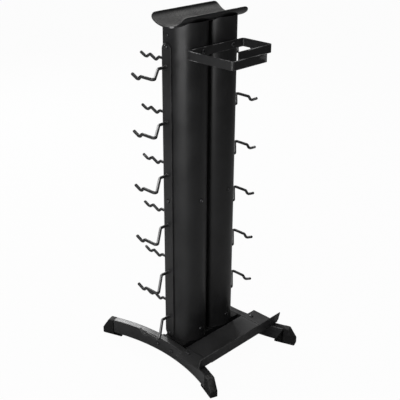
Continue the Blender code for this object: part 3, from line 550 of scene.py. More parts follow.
# %% Moulded feet
SOLE_THICKNESS = 0.0095
SOLE_BACK = 0.034
NOSE_TOP = 0.024
NOSE_HEIGHT = 0.0265
SEAM_GAP = 0.0003
FOOT_EDGE = 0.0025
FOOT_CORNERS = (0.002, 0.004, 0.005, 0.006, 0.0015, 0.0005, 0.002)

side_view = rounded_outline(
    [(-SOLE_BACK, 0.0), (FOOT_LENGTH, 0.0), (FOOT_LENGTH, NOSE_HEIGHT), (NOSE_TOP, TUBE_TOP),
     (SEAM_GAP, TUBE_TOP), (SEAM_GAP, SOLE_THICKNESS), (-SOLE_BACK, SOLE_THICKNESS)],
    FOOT_CORNERS, steps=5, margin=0.0015)
foot_points, *foot_rest = plate(side_view, "XZ", -TUBE_WIDTH / 2, TUBE_WIDTH / 2, FOOT_EDGE)

for side, sign in SIDES:
    for end, forward in (("front", -1), ("rear", 1)):
        seam = np.array([sign * leg_x(bow_y[-1]), forward * bow_y[-1], 0.0])
        outward = np.array([sign * math.sin(SEAM_ANGLE), forward * math.cos(SEAM_ANGLE), 0.0])
        upward = np.array([0.0, 0.0, 1.0])
        placed = foot_points @ np.stack([outward, np.cross(upward, outward), upward]) + seam
        make_piece(f"rubber_foot_{end}_{side}", (placed, *foot_rest), "foot_rubber",
                   [f"foot_{end}_{side}"])
print("feet:", 4, "with", len(foot_rest[0]), "faces each")

# %% [markdown]
# ## Columns
#
# The columns are the rack's body: steel tubes with a half-round front, flat sides and a flat back.
# Highlights on a round front show every facet, so its outline has many points. The top is cut to the
# trough's curve: each point of the outline is carried up to the height that the curve has there.

# %% Column tubes
COLUMN_MIDDLE_X = 0.0735
COLUMN_HALF_WIDTH = 0.072
COLUMN_REAR = 0.040
COLUMN_NOSE_START = -0.009
COLUMN_WALL = 0.002
COLUMN_CORNER = 0.004
COLUMN_BOTTOM = 0.0698
COLUMN_TOP = 1.320
TROUGH_HALF_WIDTH = 0.077
TROUGH_RIM = 1.343
TROUGH_DEPTH = 0.041
TROUGH_SHEET = 0.004
FOOT_RINGS = np.array([0.0, 0.0006, 0.004, 0.02])
TOP_RINGS = np.array([0.02, 0.004, 0.0])
END_INSETS = (0.0005, 0.0006)
NOSE_POINTS = 73
CORNER_POINTS = 7


def trough_height(y, inset):
    """Height of the trough's half ellipse at a given y, for a skin that far inside its outer face."""
    share = np.asarray(y) / (TROUGH_HALF_WIDTH - inset)
    return TROUGH_RIM - (TROUGH_DEPTH - inset) * np.sqrt(np.maximum(1 - share ** 2, 0.0))


def column_outline(middle):
    """Half circle for the front, then two straight sides and a back with small round corners."""
    angle = np.linspace(math.pi, 2 * math.pi, NOSE_POINTS)
    facing = np.stack([np.cos(angle), np.sin(angle)], -1)
    nose = np.array([middle, COLUMN_NOSE_START]) + COLUMN_HALF_WIDTH * facing
    quarter = np.linspace(0.0, math.pi / 2, CORNER_POINTS)
    corner_facing = np.stack([np.cos(quarter), np.sin(quarter)], -1)
    inset = COLUMN_HALF_WIDTH - COLUMN_CORNER
    right = np.array([middle + inset, COLUMN_REAR - COLUMN_CORNER]) + COLUMN_CORNER * corner_facing
    mirrored = corner_facing[::-1] * np.array([-1.0, 1.0])
    left = np.array([middle - inset, COLUMN_REAR - COLUMN_CORNER]) + COLUMN_CORNER * mirrored
    return np.concatenate([nose, right, left]), np.concatenate([facing, corner_facing, mirrored])


def column_tube(middle):
    """Outer skin up, inner skin down. The top is the lower of a level cut and the trough's curve.

    The outer skin has rings near its foot and near its top, and both ends are drawn in a little.
    """
    points, normals = column_outline(middle)
    low, high = len(FOOT_RINGS), len(TOP_RINGS)
    inward = np.zeros(low + high)
    inward[[0, -1]] = END_INSETS
    skin = points - inward[:, None, None] * normals
    inner = points - COLUMN_WALL * normals
    rings = np.concatenate([skin, [inner, inner]])
    level = np.minimum(COLUMN_TOP, trough_height(rings[..., 1], -2 * SEAM_GAP))
    level[:low] = COLUMN_BOTTOM + FOOT_RINGS[:, None]
    level[low:low + high] -= TOP_RINGS[:, None]
    level[-1] = COLUMN_BOTTOM
    worn = np.zeros(level.shape)
    worn[[0, low + high - 1]] = 1.0
    return grid_shape(np.concatenate([rings, level[..., None]], -1), worn, "hollow")


for side, sign in SIDES:
    column = make_piece(f"column_tube_{side}", column_tube(sign * COLUMN_MIDDLE_X), "column_paint",
                        [f"column_{side}"], sharp_degrees=30)
    print(column.name, len(column.data.vertices), "points")

# %% [markdown]
# ## Base cross member
#
# A folded channel between the legs carries the columns. It is almost hidden, and its CAD solid has
# the right form, so a copy of that solid is merged and its edges are softened, as folded sheet has.

# %% Folded channel
MERGE_DISTANCE = 0.00001
FLAT_ANGLE = math.radians(1.0)

channel = bmesh.new()
channel.from_mesh(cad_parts["base_cross_member"].data)
bmesh.ops.remove_doubles(channel, verts=channel.verts, dist=MERGE_DISTANCE)
bmesh.ops.dissolve_limit(channel, angle_limit=FLAT_ANGLE, verts=channel.verts, edges=channel.edges)
channel.verts.index_update()
points = np.array([tuple(corner.co) for corner in channel.verts])
faces = [[corner.index for corner in face.verts] for face in channel.faces]
channel.free()
# Its darker paint is painted shade, for the shade under the columns and the tray.
base = make_piece("folded_base", (points, faces, np.zeros(len(points))), "base_paint",
                  ["base_cross_member"], sharp_degrees=30)
soften(base, 0.0007, 2)
print(base.name, len(base.data.polygons), "faces before the bevel")

# %% [markdown]
# ## Hook strips
#
# The hooks are welded to flat bars with round ends, and the bars are bolted to the columns: one on
# each outer side, one on each back. A strip is the plainest plate, an outline of two half circles.

# %% Flat strips
STRIP_WIDTH = 0.045
STRIP_THICKNESS = 0.005
SIDE_STRIP_Y = {"left": 0.0157, "right": -0.0050}
SIDE_STRIP_MIDDLE_Z = 0.660
SIDE_STRIP_LENGTH = 1.172
REAR_STRIP_LENGTH = 1.160
STRIP_EDGE = 0.0009
ROUND_END_POINTS = 25
FRONT_SCREW_HEIGHTS = (0.116, 0.669, 1.222)
SIDE_FACE_X = COLUMN_MIDDLE_X + COLUMN_HALF_WIDTH + SEAM_GAP
REAR_FACE_Y = COLUMN_REAR + SEAM_GAP


def stadium(middle, width, length):
    """Two half circles joined by straight sides: the outline of a bar with round ends."""
    angle = np.linspace(0.0, math.pi, ROUND_END_POINTS)
    facing = np.stack([np.cos(angle), np.sin(angle)], -1)
    facing = np.concatenate([facing, -facing])
    reach = np.repeat([length / 2 - width / 2, width / 2 - length / 2], len(angle))
    points = np.asarray(middle) + facing * width / 2
    points[:, 1] += reach
    return points, facing, np.ones(len(points))


for side, sign in SIDES:
    low, high = sorted((sign * SIDE_FACE_X, sign * (SIDE_FACE_X + STRIP_THICKNESS)))
    loop = stadium((SIDE_STRIP_Y[side], SIDE_STRIP_MIDDLE_Z), STRIP_WIDTH, SIDE_STRIP_LENGTH)
    make_piece(f"side_strip_{side}", plate(loop, "YZ", low, high, STRIP_EDGE), "strip_paint",
               [f"side_hook_strip_{side}"])
    middle_z = (FRONT_SCREW_HEIGHTS[0] + FRONT_SCREW_HEIGHTS[-1]) / 2
    loop = stadium((sign * COLUMN_MIDDLE_X, middle_z), STRIP_WIDTH, REAR_STRIP_LENGTH)
    strip = plate(loop, "XZ", REAR_FACE_Y, REAR_FACE_Y + STRIP_THICKNESS, STRIP_EDGE)
    make_piece(f"rear_strip_{side}", strip, "strip_paint", [f"rear_hook_strip_{side}"])
print("strips:", 4)

# %% [markdown]
# ## Hooks
#
# Every hook is a piece of 11 mm rod, bent cold and welded on. The bends are arcs, the free end is
# rounded over, and the weld leaves a low uneven collar round the root. A rod is a circle carried
# along the bent path, and its radius changes along the way for the collar and the tip.


# %% Bent rods
COLLAR_RINGS = 9
# The tip's pale rings are polish where things hang, and a painted highlight as well.
POLISHED_AND_GLINT_RINGS = 12
BEAD_RIPPLES = 7
BEAD_SWING = 0.00045
TIP_ROUND = 0.75
TIP_END = math.radians(80)
TIP_RINGS = 7
TIP_WEAR_AND_GLINT = 0.8
BEND_SHARE = 0.48


def bent_path(corners, radii, steps=7):
    """A path in space with each inner corner replaced by an arc in the plane of its two sides."""
    corners = np.asarray(corners, float)
    pieces = [corners[:1]]
    for before, corner, after, radius in zip(corners, corners[1:], corners[2:], radii):
        back = unit(before - corner)
        ahead = unit(after - corner)
        half = math.acos(np.clip(back @ ahead, -1, 1)) / 2
        room = BEND_SHARE * min(np.linalg.norm(before - corner), np.linalg.norm(after - corner))
        tangent = min(radius / math.tan(half), room)
        bend = tangent * math.tan(half)
        centre = corner + unit(back + ahead) * bend / math.sin(half)
        start, end = corner + back * tangent - centre, corner + ahead * tangent - centre
        turn = math.pi - 2 * half
        share = np.linspace(0.0, 1.0, steps + 1)[:, None]
        pieces.append(centre + (np.sin((1 - share) * turn) * start + np.sin(share * turn) * end)
                      / math.sin(turn))
    return np.concatenate(pieces + [corners[-1:]])


def rod_along(path, radius, collar_radius, collar_length, sides=20):
    """A round rod along a path: wide at the weld, even along the rod, rounded over at the tip.

    The collar's radius falls off as a cosine and swings a little round the rod, as a weld bead does.
    """
    start = unit(path[1] - path[0])
    end = unit(path[-1] - path[-2])
    collar_at = np.linspace(0.0, collar_length, COLLAR_RINGS)
    tip_angle = np.linspace(0.0, TIP_END, TIP_RINGS)
    tip_at = radius * TIP_ROUND * (1 - np.sin(tip_angle))
    stations = np.concatenate([path[0] + start * collar_at[:, None], path[1:-1],
                               path[-1] - end * tip_at[:, None]])
    bead = radius + (collar_radius - radius) * (0.5 + 0.5 * np.cos(math.pi * collar_at / collar_length))
    tip = radius * (1 - TIP_ROUND + TIP_ROUND * np.cos(tip_angle))
    across = np.concatenate([bead, np.full(len(path) - 2, radius), tip])
    along = unit(np.gradient(stations, axis=0))
    sideways = unit(np.cross(along, [0.0, 0.0, 1.0]))
    upward = np.cross(sideways, along)
    angle = np.linspace(0.0, 2 * math.pi, sides, endpoint=False)
    reach = np.repeat(across[:, None], sides, 1)
    swell = np.sin(math.pi * np.linspace(0.25, 1.0, COLLAR_RINGS))
    reach[:COLLAR_RINGS] += BEAD_SWING * np.cos(BEAD_RIPPLES * angle) * swell[:, None]
    points = (stations[:, None] + sideways[:, None] * (np.cos(angle) * reach)[..., None]
              + upward[:, None] * (np.sin(angle) * reach)[..., None])
    worn = np.zeros((len(stations), sides))
    # Pale tip rings: polish where things hang, and a painted highlight.
    worn[-POLISHED_AND_GLINT_RINGS:] = TIP_WEAR_AND_GLINT
    return grid_shape(points, worn)


print("rod helpers ready")

# %% Six rows of hooks
ROD_RADIUS = 0.00555
WELD_RADIUS = 0.0080
WELD_LENGTH = 0.0055
HOOK_ROWS = 6
HOOK_PITCH = 0.200
HOOKS_MIDDLE_Z = 0.664
SIDE_HOOK_STRAIGHT = 0.0380
SIDE_HOOK_REACH = 0.142
SIDE_HOOK_OFFSET = -0.0945
SIDE_HOOK_RUN = (0.0665, 0.0755, 0.0835, 0.110)
SIDE_HEIGHTS = (0.0, -0.0102, -0.0102, 0.0025)
REAR_HOOK_RUN = (0.091, 0.104, 0.109, 0.138, 0.154, 0.164, 0.189)
REAR_HEIGHTS = (0.0, -0.0112, -0.0112, 0.003, -0.0088, -0.0088, 0.003)
SIDE_BENDS = (0.010, 0.007, 0.006, 0.006, 0.006)
REAR_BENDS = (0.006,) * 6

side_corners = [(0, 0, 0), (-SIDE_HOOK_STRAIGHT, 0, 0), (-SIDE_HOOK_REACH, SIDE_HOOK_OFFSET, 0)]
side_corners += [(-SIDE_HOOK_REACH, SIDE_HOOK_OFFSET + run, height)
                 for run, height in zip(SIDE_HOOK_RUN, SIDE_HEIGHTS)]
rear_corners = [(0, 0, 0)] + [(0, run, height) for run, height in zip(REAR_HOOK_RUN, REAR_HEIGHTS)]
side_rod, rear_rod = (rod_along(bent_path(corners, bends), ROD_RADIUS, WELD_RADIUS, WELD_LENGTH)
                      for corners, bends in ((side_corners, SIDE_BENDS), (rear_corners, REAR_BENDS)))

for row in range(HOOK_ROWS):
    z = HOOKS_MIDDLE_Z + (row - (HOOK_ROWS - 1) / 2) * HOOK_PITCH
    for side, sign in SIDES:
        half_turn = (-sign, -sign, 1)
        side_root = (sign * (SIDE_FACE_X + STRIP_THICKNESS + SEAM_GAP), SIDE_STRIP_Y[side], z)
        rear_root = (sign * COLUMN_MIDDLE_X, REAR_FACE_Y + STRIP_THICKNESS + SEAM_GAP, z)
        for kind, (points, *rest), turn, root in (("side", side_rod, half_turn, side_root),
                                                  ("rear", rear_rod, (1, 1, 1), rear_root)):
            make_piece(f"{kind}_rod_{side}_{row + 1}", (points * turn + root, *rest), "hook_paint",
                       [f"{kind}_hook_{side}_{row + 1}"])
print("hooks:", HOOK_ROWS * 4, "with", len(side_rod[1]), "and", len(rear_rod[1]), "faces")

# %% [markdown]
# ## Trough
#
# The trough on top is a sheet pressed to half an ellipse, with its corners rounded off. A point of
# the sheet is an angle round the ellipse and a share of the half length, and near the rim that half
# length shrinks along a quarter circle. Solidify gives the sheet its 4 mm, and Bevel softens the rim.


# %% Pressed sheet and its tabs
def sheet_piece(name, points, finish, thickness, edge, replaced):
    """A surface through a grid of points, with an even thickness about itself and a soft rim."""
    # The rim's edge mask carries rubbed paint, and on the trough painted highlight lines too.
    worn = np.ones(points.shape[:2])
    worn[1:-1, 1:-1] = 0.0
    piece = make_piece(name, grid_shape(points, worn, "sheet"), finish, replaced)
    solid = piece.modifiers.new("sheet", "SOLIDIFY")
    solid.thickness = thickness
    solid.offset = 0.0
    solid.use_even_offset = True
    soften(piece, edge, 3)
    return piece


TROUGH_HALF = 0.166
TROUGH_CORNER = 0.023
ROLL_LIMIT = math.pi / 2 - 0.002
ROLL_POINTS = 81
TROUGH_EDGE = 0.0009

roll = np.linspace(-ROLL_LIMIT, ROLL_LIMIT, ROLL_POINTS)
roll_y = (TROUGH_HALF_WIDTH - TROUGH_SHEET / 2) * np.sin(roll)
roll_z = TROUGH_RIM - (TROUGH_DEPTH - TROUGH_SHEET / 2) * np.cos(roll)
over = np.clip(roll_z - (TROUGH_RIM - TROUGH_CORNER), 0.0, TROUGH_CORNER)
half_length = TROUGH_HALF - TROUGH_CORNER + np.sqrt(TROUGH_CORNER ** 2 - over ** 2)
share = np.concatenate([[-1.0, -0.985], np.linspace(-0.95, 0.95, 21), [0.985, 1.0]])
trough_points = np.stack(np.broadcast_arrays(
    share[None, :] * half_length[:, None], roll_y[:, None], roll_z[:, None]), -1)
trough = sheet_piece("trough_sheet", trough_points, "trough_paint", TROUGH_SHEET, TROUGH_EDGE,
                     ["trough"])

TAB_FRONT, TAB_REAR, TAB_BOTTOM = -0.010, 0.036, 1.245
TAB_THICKNESS = 0.004
TAB_EDGE = 0.0003
TAB_CORNER = 0.0004
tab_top = [(y, float(trough_height(y, TROUGH_SHEET / 2))) for y in np.linspace(TAB_REAR, TAB_FRONT, 7)]
for side, sign in SIDES:
    wall = COLUMN_MIDDLE_X + COLUMN_HALF_WIDTH - COLUMN_WALL - SEAM_GAP
    low, high = sorted((sign * wall, sign * (wall - TAB_THICKNESS)))
    corners = [(TAB_FRONT, TAB_BOTTOM), (TAB_REAR, TAB_BOTTOM)] + tab_top
    loop = rounded_outline(corners, TAB_CORNER, steps=1)
    make_piece(f"trough_tab_{side}", plate(loop, "YZ", low, high, TAB_EDGE, margin=0.0001), "trough_paint")
print("trough:", len(trough.data.polygons), "faces before its thickness")

# %% [markdown]
# ## Bar holder
#
# The holder is one 30 by 5 mm flat bar, bent on edge into a loop that is open at the front, with one
# end folded in behind the other. The path is its plan, and the section is the bar's own.

# %% Bent flat bar
BAR_HEIGHT = 0.030
BAR_THICKNESS = 0.005
HOLDER_TOP = 1.237
HOLDER_BACK = COLUMN_NOSE_START - COLUMN_HALF_WIDTH - SEAM_GAP
HOLDER_LEFT, HOLDER_RIGHT, HOLDER_FRONT = -0.150, 0.132, -0.290
HOLDER_INNER_FRONT, HOLDER_OUTER_END, HOLDER_INNER_END = -0.2165, 0.016, -0.040
HOLDER_BEND = 0.010
BAR_EDGE = 0.0008
BAR_END_EDGE = 0.0007

half = BAR_THICKNESS / 2
plan = [(HOLDER_OUTER_END, HOLDER_FRONT + half), (HOLDER_LEFT + half, HOLDER_FRONT + half),
        (HOLDER_LEFT + half, HOLDER_BACK - half), (HOLDER_RIGHT - half, HOLDER_BACK - half),
        (HOLDER_RIGHT - half, HOLDER_INNER_FRONT + half), (HOLDER_INNER_END, HOLDER_INNER_FRONT + half)]
bar_path = rounded_outline(plan, HOLDER_BEND - half, steps=8, margin=0.004, closed=False)[0]
bar_section = box_section(BAR_THICKNESS, BAR_HEIGHT, BAR_EDGE, steps=3)
bar = swept_bar(bar_path, bar_section, HOLDER_TOP - BAR_HEIGHT / 2, BAR_END_EDGE)
holder = make_piece("bent_bar_holder", bar, "holder_paint", ["bar_holder"])
print("holder:", len(holder.data.polygons), "faces")

# %% [markdown]
# ## Front tray
#
# The tray is one sheet across both legs. Its flanges lie on the legs, its middle is set down between
# them, and the front edge is bent up into a leaning lip. Each row of the grid is one line across the
# tray, and a row knows how far the sheet has gone round the bend. The lip is left bare here.

# %% Pressed tray
TRAY_SHEET = 0.003
TRAY_HALF_WIDTH = 0.228
TRAY_REAR = -0.0884
TRAY_FLANGE_REAR = -0.099
TRAY_BEND_Y = -0.2247
TRAY_STEP_INNER = 0.158
TRAY_STEP_OUTER = 0.1625
TRAY_SET_DOWN = 0.0028
LIP_TOP = 0.120
LIP_LEAN = math.radians(11.5)
LIP_HALF_WIDTH = 0.232
LIP_NOTCH = 0.010
LIP_BEND_RADIUS = 0.0035
TRAY_EDGE = 0.0006
EDGE_LINE = 0.003
STEP_LINE = 0.0003
TINY = 0.0001
FLOOR_ROW = -0.16
FLOOR_COLUMNS = (0.05, 0.11, 0.15)
FLANGE_COLUMN = 0.20
LIP_ROW = 0.004

flange_z = TUBE_TOP + SEAM_GAP + TRAY_SHEET / 2
floor_z = flange_z - TRAY_SET_DOWN
tangent = LIP_BEND_RADIUS * math.tan((math.pi / 2 - LIP_LEAN) / 2)
bend_y = TRAY_BEND_Y + TRAY_SHEET / 2 + tangent
bend_angle = np.linspace(-math.pi / 2, -math.pi + LIP_LEAN, 9)
row_y = bend_y + LIP_BEND_RADIUS * np.cos(bend_angle)
row_z = floor_z + LIP_BEND_RADIUS * (1 + np.sin(bend_angle))
notch_z = flange_z + LIP_NOTCH
lip_z = np.array([notch_z, notch_z + STEP_LINE, notch_z + LIP_ROW, LIP_TOP - EDGE_LINE, LIP_TOP])
row_y = np.concatenate([[TRAY_REAR, TRAY_REAR - EDGE_LINE, FLOOR_ROW], row_y,
                        row_y[-1] - (lip_z - row_z[-1]) * math.tan(LIP_LEAN)])
row_z = np.concatenate([[floor_z] * 3, row_z, lip_z])
step_x = np.linspace(TRAY_STEP_INNER, TRAY_STEP_OUTER, 9)
notch_x = TRAY_STEP_OUTER + LIP_BEND_RADIUS / 2
right_x = np.concatenate([FLOOR_COLUMNS, step_x, [notch_x, notch_x + STEP_LINE, FLANGE_COLUMN],
                          [TRAY_HALF_WIDTH - EDGE_LINE, TRAY_HALF_WIDTH]])
share = np.clip((right_x - TRAY_STEP_INNER) / (TRAY_STEP_OUTER - TRAY_STEP_INNER), 0.0, 1.0)
right_lift = TRAY_SET_DOWN * share * share * (3 - 2 * share)
row_x = np.concatenate([-right_x[::-1], [0.0], right_x])
lift = np.concatenate([right_lift[::-1], [0.0], right_lift])

x = np.repeat(row_x[None], len(row_y), 0)
upright = (row_z[:, None] >= notch_z) * np.ones_like(x)
rise = lift[None] * (1 - upright)
z = row_z[:, None] + rise
y = row_y[:, None] - math.tan(LIP_LEAN) * rise * (row_y[:, None] < bend_y)
beyond = np.abs(x) > notch_x + TINY
y[0] = np.where(beyond[0], TRAY_FLANGE_REAR, y[0])
y[1] = np.where(beyond[1], TRAY_FLANGE_REAR - EDGE_LINE, y[1])
wide = (row_z > notch_z + TINY)[:, None] & (np.abs(x) > TRAY_HALF_WIDTH - TINY)
x = np.where(wide, np.sign(x) * LIP_HALF_WIDTH, x)
tray = sheet_piece("pressed_tray", np.stack([x, y, z], -1), "tray_paint", TRAY_SHEET, TRAY_EDGE,
                   ["front_tray"])
print("tray:", len(tray.data.polygons), "faces before its thickness")

# %% [markdown]
# ## Screws
#
# The screws are M8 with low domed heads, a six-sided socket and a nut on the far side. Both are
# turned shapes apart from their hexagons, so each ring of points is a circle or a hexagon of its own
# size: a hexagon's radius at an angle is its flat's distance over the cosine from the flat's middle.


# %% Domed screws with nuts
SHANK_RADIUS = 0.004
NUT_RADIUS = 0.0075
NUT_THICKNESS = 0.0065
NUT_LEVELS = np.array([0.0, 0.0, 0.0005, 0.0010, 0.0020])
SHANK_TAIL = 0.002
HEAD_RIM = 0.0012
HEAD_SIZE = (0.008, 0.0048)
SMALL_HEAD_SIZE = (0.0065, 0.0035)
HEAD_CHAMFER = 0.0002
SOCKET_SHARE = 0.31
SOCKET_DEPTH_SHARE = 0.5
SOCKET_LIP = 0.0001
SOCKET_FILLET = 0.0002
DOME_START = math.radians(27)
TAIL_CHAMFER = 0.0006
THREAD_DEPTH = 0.0002
THREAD_PITCH = 0.00125
RING_STEPS = 36
ring_angle = np.linspace(0.0, 2 * math.pi, RING_STEPS, endpoint=False)


def hexagon(flat):
    """Radius of a hexagon at each angle of a ring."""
    return flat / np.cos((ring_angle + math.pi / 6) % (math.pi / 3) - math.pi / 6)


def turned(radii, heights):
    """Points of a stack of level rings, each with a radius at every angle and one height."""
    heights = np.broadcast_to(heights[:, None], radii.shape)
    return np.stack([radii * np.cos(ring_angle), radii * np.sin(ring_angle), heights], -1)


def screw_shape(grip, head_radius, head_height):
    """Head up, with the underside of the head at the origin. The thread's tail is a true helix."""
    socket = hexagon(SOCKET_SHARE * head_radius)
    dome = np.linspace(DOME_START, math.pi / 2, 8)
    dome_r = head_radius * np.sin(dome)
    dome_z = HEAD_RIM + (head_height - HEAD_RIM) * np.cos(dome)
    floor = dome_z[0] - SOCKET_DEPTH_SHARE * head_height
    one = np.ones(RING_STEPS)
    radii = [0.4 * socket, 0.97 * socket, socket, socket, 1.04 * socket]
    heights = [floor, floor, floor + SOCKET_FILLET, dome_z[0] - SOCKET_LIP, dome_z[0] + SOCKET_LIP]
    radii += [r * one for r in dome_r]
    heights += list(dome_z)
    radii += [head_radius * one, (head_radius - HEAD_CHAMFER) * one, SHANK_RADIUS * one]
    heights += [HEAD_CHAMFER, 0.0, 0.0]
    end = -(grip + NUT_THICKNESS + SHANK_TAIL)
    tail = np.arange(-(grip + NUT_THICKNESS), end + 0.0004, -THREAD_PITCH / 6)
    turns = tail[:, None] / THREAD_PITCH - ring_angle[None] / (2 * math.pi)
    thread = SHANK_RADIUS - THREAD_DEPTH + THREAD_DEPTH * np.cos(2 * math.pi * turns)
    radii += [SHANK_RADIUS * one] + list(thread) + [(SHANK_RADIUS - TAIL_CHAMFER) * one]
    heights += [-(grip + NUT_THICKNESS) + 0.0003] + list(tail) + [end]
    points = turned(np.array(radii), np.array(heights))
    worn = np.zeros((len(points), RING_STEPS))
    worn[3:6] = 1.0
    return grid_shape(points, worn)


def nut_shape(top):
    """A hexagon nut under a level, its corners cut by a cone at both faces, round its own bore."""
    flat = NUT_RADIUS * math.cos(math.pi / 6)
    cone = np.array([flat - 0.0008, flat - 0.0003, flat + 0.0004, flat + 0.0008, NUT_RADIUS])
    down = np.concatenate([NUT_LEVELS, (NUT_THICKNESS - NUT_LEVELS)[::-1]])
    cone = np.concatenate([cone, cone[::-1]])
    outer = np.minimum(hexagon(flat)[None], cone[:, None])
    bore = np.full((2, RING_STEPS), SHANK_RADIUS + 0.0001)
    points = turned(np.concatenate([outer, bore]), np.concatenate([top - down, [top - NUT_THICKNESS, top]]))
    worn = np.zeros((len(points), RING_STEPS))
    worn[1:4] = 0.8
    worn[6:9] = 0.8
    return grid_shape(points, worn, "hollow")


def aimed(points, seat, direction):
    """Stand points whose own axis is Z along X, Y or Z, with their origin at a seat."""
    axis = np.asarray(direction, float)
    first = np.roll(axis, 1)
    turn = np.stack([first, np.cross(axis, first), axis])
    return points @ turn + np.asarray(seat)


def place_screw(name, seat, direction, grip, head_size=HEAD_SIZE):
    """A screw and its nut as one piece, with the head's underside on its seat."""
    points, *rest = join(screw_shape(grip, *head_size), nut_shape(-grip))
    make_piece(f"domed_{name}", (aimed(points, seat, direction), *rest), "screw_black", [name],
               sharp_degrees=32)


print("screw helpers ready")

# %% All twenty screws
SIDE_SCREW_OFFSETS = (-0.573, 0.0, 0.573)
TROUGH_SCREW_Y = 0.0157
TROUGH_SCREW_Z = 1.272
LEG_SCREW_Z = 0.040
LEG_SCREW_Y = (-0.033, 0.045)
TRAY_SCREW_Y = -0.122
CHANNEL_WALL = 0.004
PLACES = ("bottom", "middle", "top")
strip_x = SIDE_FACE_X + STRIP_THICKNESS + SEAM_GAP
strip_y = REAR_FACE_Y + STRIP_THICKNESS
column_front = COLUMN_NOSE_START - COLUMN_HALF_WIDTH
channel_x = LEG_MIDDLE_X - TUBE_WIDTH / 2 - SEAM_GAP - CHANNEL_WALL

for side, sign in SIDES:
    outward = (sign, 0, 0)
    for place, height in zip(PLACES, FRONT_SCREW_HEIGHTS):
        face = HOLDER_BACK - BAR_THICKNESS if place == "top" else column_front
        grip = strip_y - face + 2 * SEAM_GAP
        place_screw(f"column_screw_{side}_{place}", (sign * COLUMN_MIDDLE_X, face - SEAM_GAP, height),
                    (0, -1, 0), grip)
    for place, offset in zip(PLACES, SIDE_SCREW_OFFSETS):
        seat = (sign * strip_x, SIDE_STRIP_Y[side], SIDE_STRIP_MIDDLE_Z + offset)
        place_screw(f"strip_screw_{side}_{place}", seat, outward,
                    STRIP_THICKNESS + COLUMN_WALL + 3 * SEAM_GAP)
    place_screw(f"trough_screw_{side}", (sign * SIDE_FACE_X, TROUGH_SCREW_Y, TROUGH_SCREW_Z), outward,
                COLUMN_WALL + TAB_THICKNESS + 3 * SEAM_GAP, SMALL_HEAD_SIZE)
    place_screw(f"tray_screw_{side}", (sign * leg_x(TRAY_SCREW_Y), TRAY_SCREW_Y,
                                       TUBE_TOP + TRAY_SHEET + 2 * SEAM_GAP), (0, 0, 1),
                TRAY_SHEET + TUBE_WALL + 3 * SEAM_GAP)
    for place, y in zip(("front", "rear"), LEG_SCREW_Y):
        face = leg_x(y) + TUBE_WIDTH / 2 + 3 * SEAM_GAP
        place_screw(f"leg_screw_{side}_{place}", (sign * face, y, LEG_SCREW_Z), outward,
                    face - channel_x + SEAM_GAP)

# %% [markdown]
# ## Floor, light and camera
#
# The photo was taken in front of plain white. A pale floor shows white to the camera and still takes
# a soft shadow. Black paint shows its lights more than its colour, so each light stands where the
# photo has a bright place: a tall one on the left for the bands on the round fronts, a narrow one
# beside it that reaches past the left column to the right one, two behind for the tops of the legs
# and the tray's flanges, and one high on the right for the inside of the trough. A weak one fills in
# from the front, and one from above lights the floor. The camera stands where the photographer
# stood, found from the rack's own corners in the picture.

# %% White studio
FLOOR_REACH = 16.0
FLOOR_LINES = 9
FLOOR_GREY = (0.42, 0.42, 0.42, 1.0)
WHITE = (1.0, 1.0, 1.0, 1.0)
WHITE_SHARE = 0.97
ROOM_GLOW = 0.07

floor_mesh = bpy.data.meshes.new("studio_floor")
floor_line = np.linspace(-FLOOR_REACH, FLOOR_REACH, FLOOR_LINES)
floor_x, floor_y = np.meshgrid(floor_line, floor_line)
floor_points = np.stack([floor_x, floor_y, np.zeros_like(floor_x)], -1).reshape(-1, 3)
floor_mesh.from_pydata(floor_points.tolist(), [], grid_faces(FLOOR_LINES, FLOOR_LINES))
floor_object = put_in_scene("studio_floor", floor_mesh)

floor_material = bpy.data.materials.new("studio_floor")
floor_material.use_nodes = True
tree = floor_material.node_tree
shader = tree.nodes["Principled BSDF"]
shader.inputs["Base Color"].default_value = FLOOR_GREY
shader.inputs["Roughness"].default_value = 0.9
shader.inputs["Specular IOR Level"].default_value = 0.0
white = add_node(tree, "ShaderNodeEmission", Color=WHITE, Strength=1.0)
seen = tree.nodes.new("ShaderNodeLightPath").outputs["Is Camera Ray"]
blend = tree.nodes.new("ShaderNodeMixShader")
tree.links.new(calculate(tree, "MULTIPLY", seen, WHITE_SHARE), blend.inputs[0])
tree.links.new(shader.outputs[0], blend.inputs[1])
tree.links.new(white.outputs[0], blend.inputs[2])
tree.links.new(blend.outputs[0], tree.nodes["Material Output"].inputs["Surface"])
floor_mesh.materials.append(floor_material)

world = bpy.data.worlds.new("studio")
bpy.context.scene.world = world
world.use_nodes = True
tree = world.node_tree
room = tree.nodes["Background"]
room.inputs["Color"].default_value = WHITE
seen = tree.nodes.new("ShaderNodeLightPath").outputs["Is Camera Ray"]
tree.links.new(stretch(tree, seen, 0.0, 1.0, ROOM_GLOW, 1.0), room.inputs["Strength"])


def stand(holder, right, up, back, place):
    """Turn and place a lamp or camera by its own three directions."""
    turn = np.eye(4)
    turn[:3] = np.stack([right, up, back, place], -1)
    holder.matrix_world = Matrix(turn.tolist())


def soft_light(name, place, target, width, height, power):
    """A rectangular lamp that looks from its place at a target."""
    lamp = bpy.data.lights.new(name, "AREA")
    lamp.shape = "RECTANGLE"
    lamp.size = width
    lamp.size_y = height
    lamp.energy = power
    back = unit(np.subtract(place, target))
    right = unit(np.cross([0.0, 0.0, 1.0], back))
    stand(put_in_scene(name, lamp), right, np.cross(back, right), back, place)


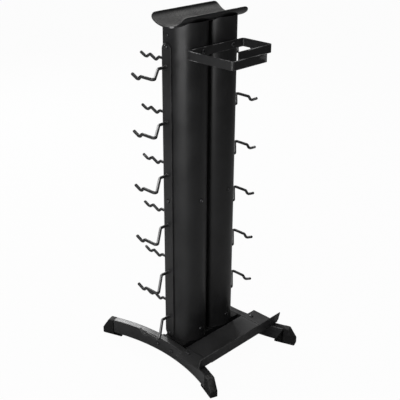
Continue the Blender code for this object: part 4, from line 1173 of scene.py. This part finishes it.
soft_light("left_softbox", (-2.63, -0.20, 1.40), (0.0, 0.0, 0.9), 1.0, 1.6, 29.0)
soft_light("groove_softbox", (-2.38, -1.27, 1.35), (0.0, 0.0, 0.9), 0.45, 1.6, 24.0)
soft_light("back_softbox", (2.0, 3.3, 2.55), (0.0, 0.0, 0.3), 1.1, 1.2, 56.0)
soft_light("right_softbox", (2.3, -0.2, 3.2), (0.0, 0.0, 1.3), 1.4, 1.2, 12.0)
soft_light("rear_softbox", (0.8, 3.7, 2.3), (0.0, 0.0, 0.3), 1.0, 1.2, 85.0)
soft_light("front_fill", (-0.6, -3.4, 2.6), (0.0, 0.0, 0.7), 2.2, 1.6, 3.0)
soft_light("top_softbox", (-0.3, -0.2, 3.4), (0.0, 0.0, 1.0), 1.4, 1.4, 25.0)

# %% Camera
CAMERA_PLACE = (-1.9499, -1.9068, 1.8585)
CAMERA_YAW = math.radians(45.905)
CAMERA_PITCH = math.radians(24.211)
CAMERA_ROLL = math.radians(0.411)
FOCAL_PIXELS = 785.82
IMAGE_SIZE = 400
OPTICAL_AXIS = (203.05, 197.57)

ahead = np.array([math.sin(CAMERA_YAW) * math.cos(CAMERA_PITCH),
                  math.cos(CAMERA_YAW) * math.cos(CAMERA_PITCH), -math.sin(CAMERA_PITCH)])
level = np.array([math.cos(CAMERA_YAW), -math.sin(CAMERA_YAW), 0.0])
upright = np.cross(level, ahead)
right = math.cos(CAMERA_ROLL) * level + math.sin(CAMERA_ROLL) * upright
up = math.cos(CAMERA_ROLL) * upright - math.sin(CAMERA_ROLL) * level
camera = bpy.data.cameras.new("photo_camera")
camera.sensor_width = 36.0
camera.lens = FOCAL_PIXELS * camera.sensor_width / IMAGE_SIZE
camera.shift_x = (IMAGE_SIZE / 2 - OPTICAL_AXIS[0]) / IMAGE_SIZE
camera.shift_y = (OPTICAL_AXIS[1] - IMAGE_SIZE / 2) / IMAGE_SIZE
camera.clip_end = 60.0
camera_object = put_in_scene("photo_camera", camera)
stand(camera_object, right, up, -ahead, CAMERA_PLACE)
bpy.context.scene.camera = camera_object
bpy.context.scene.view_settings.view_transform = "Standard"
print("lens:", round(camera.lens, 2), "mm")
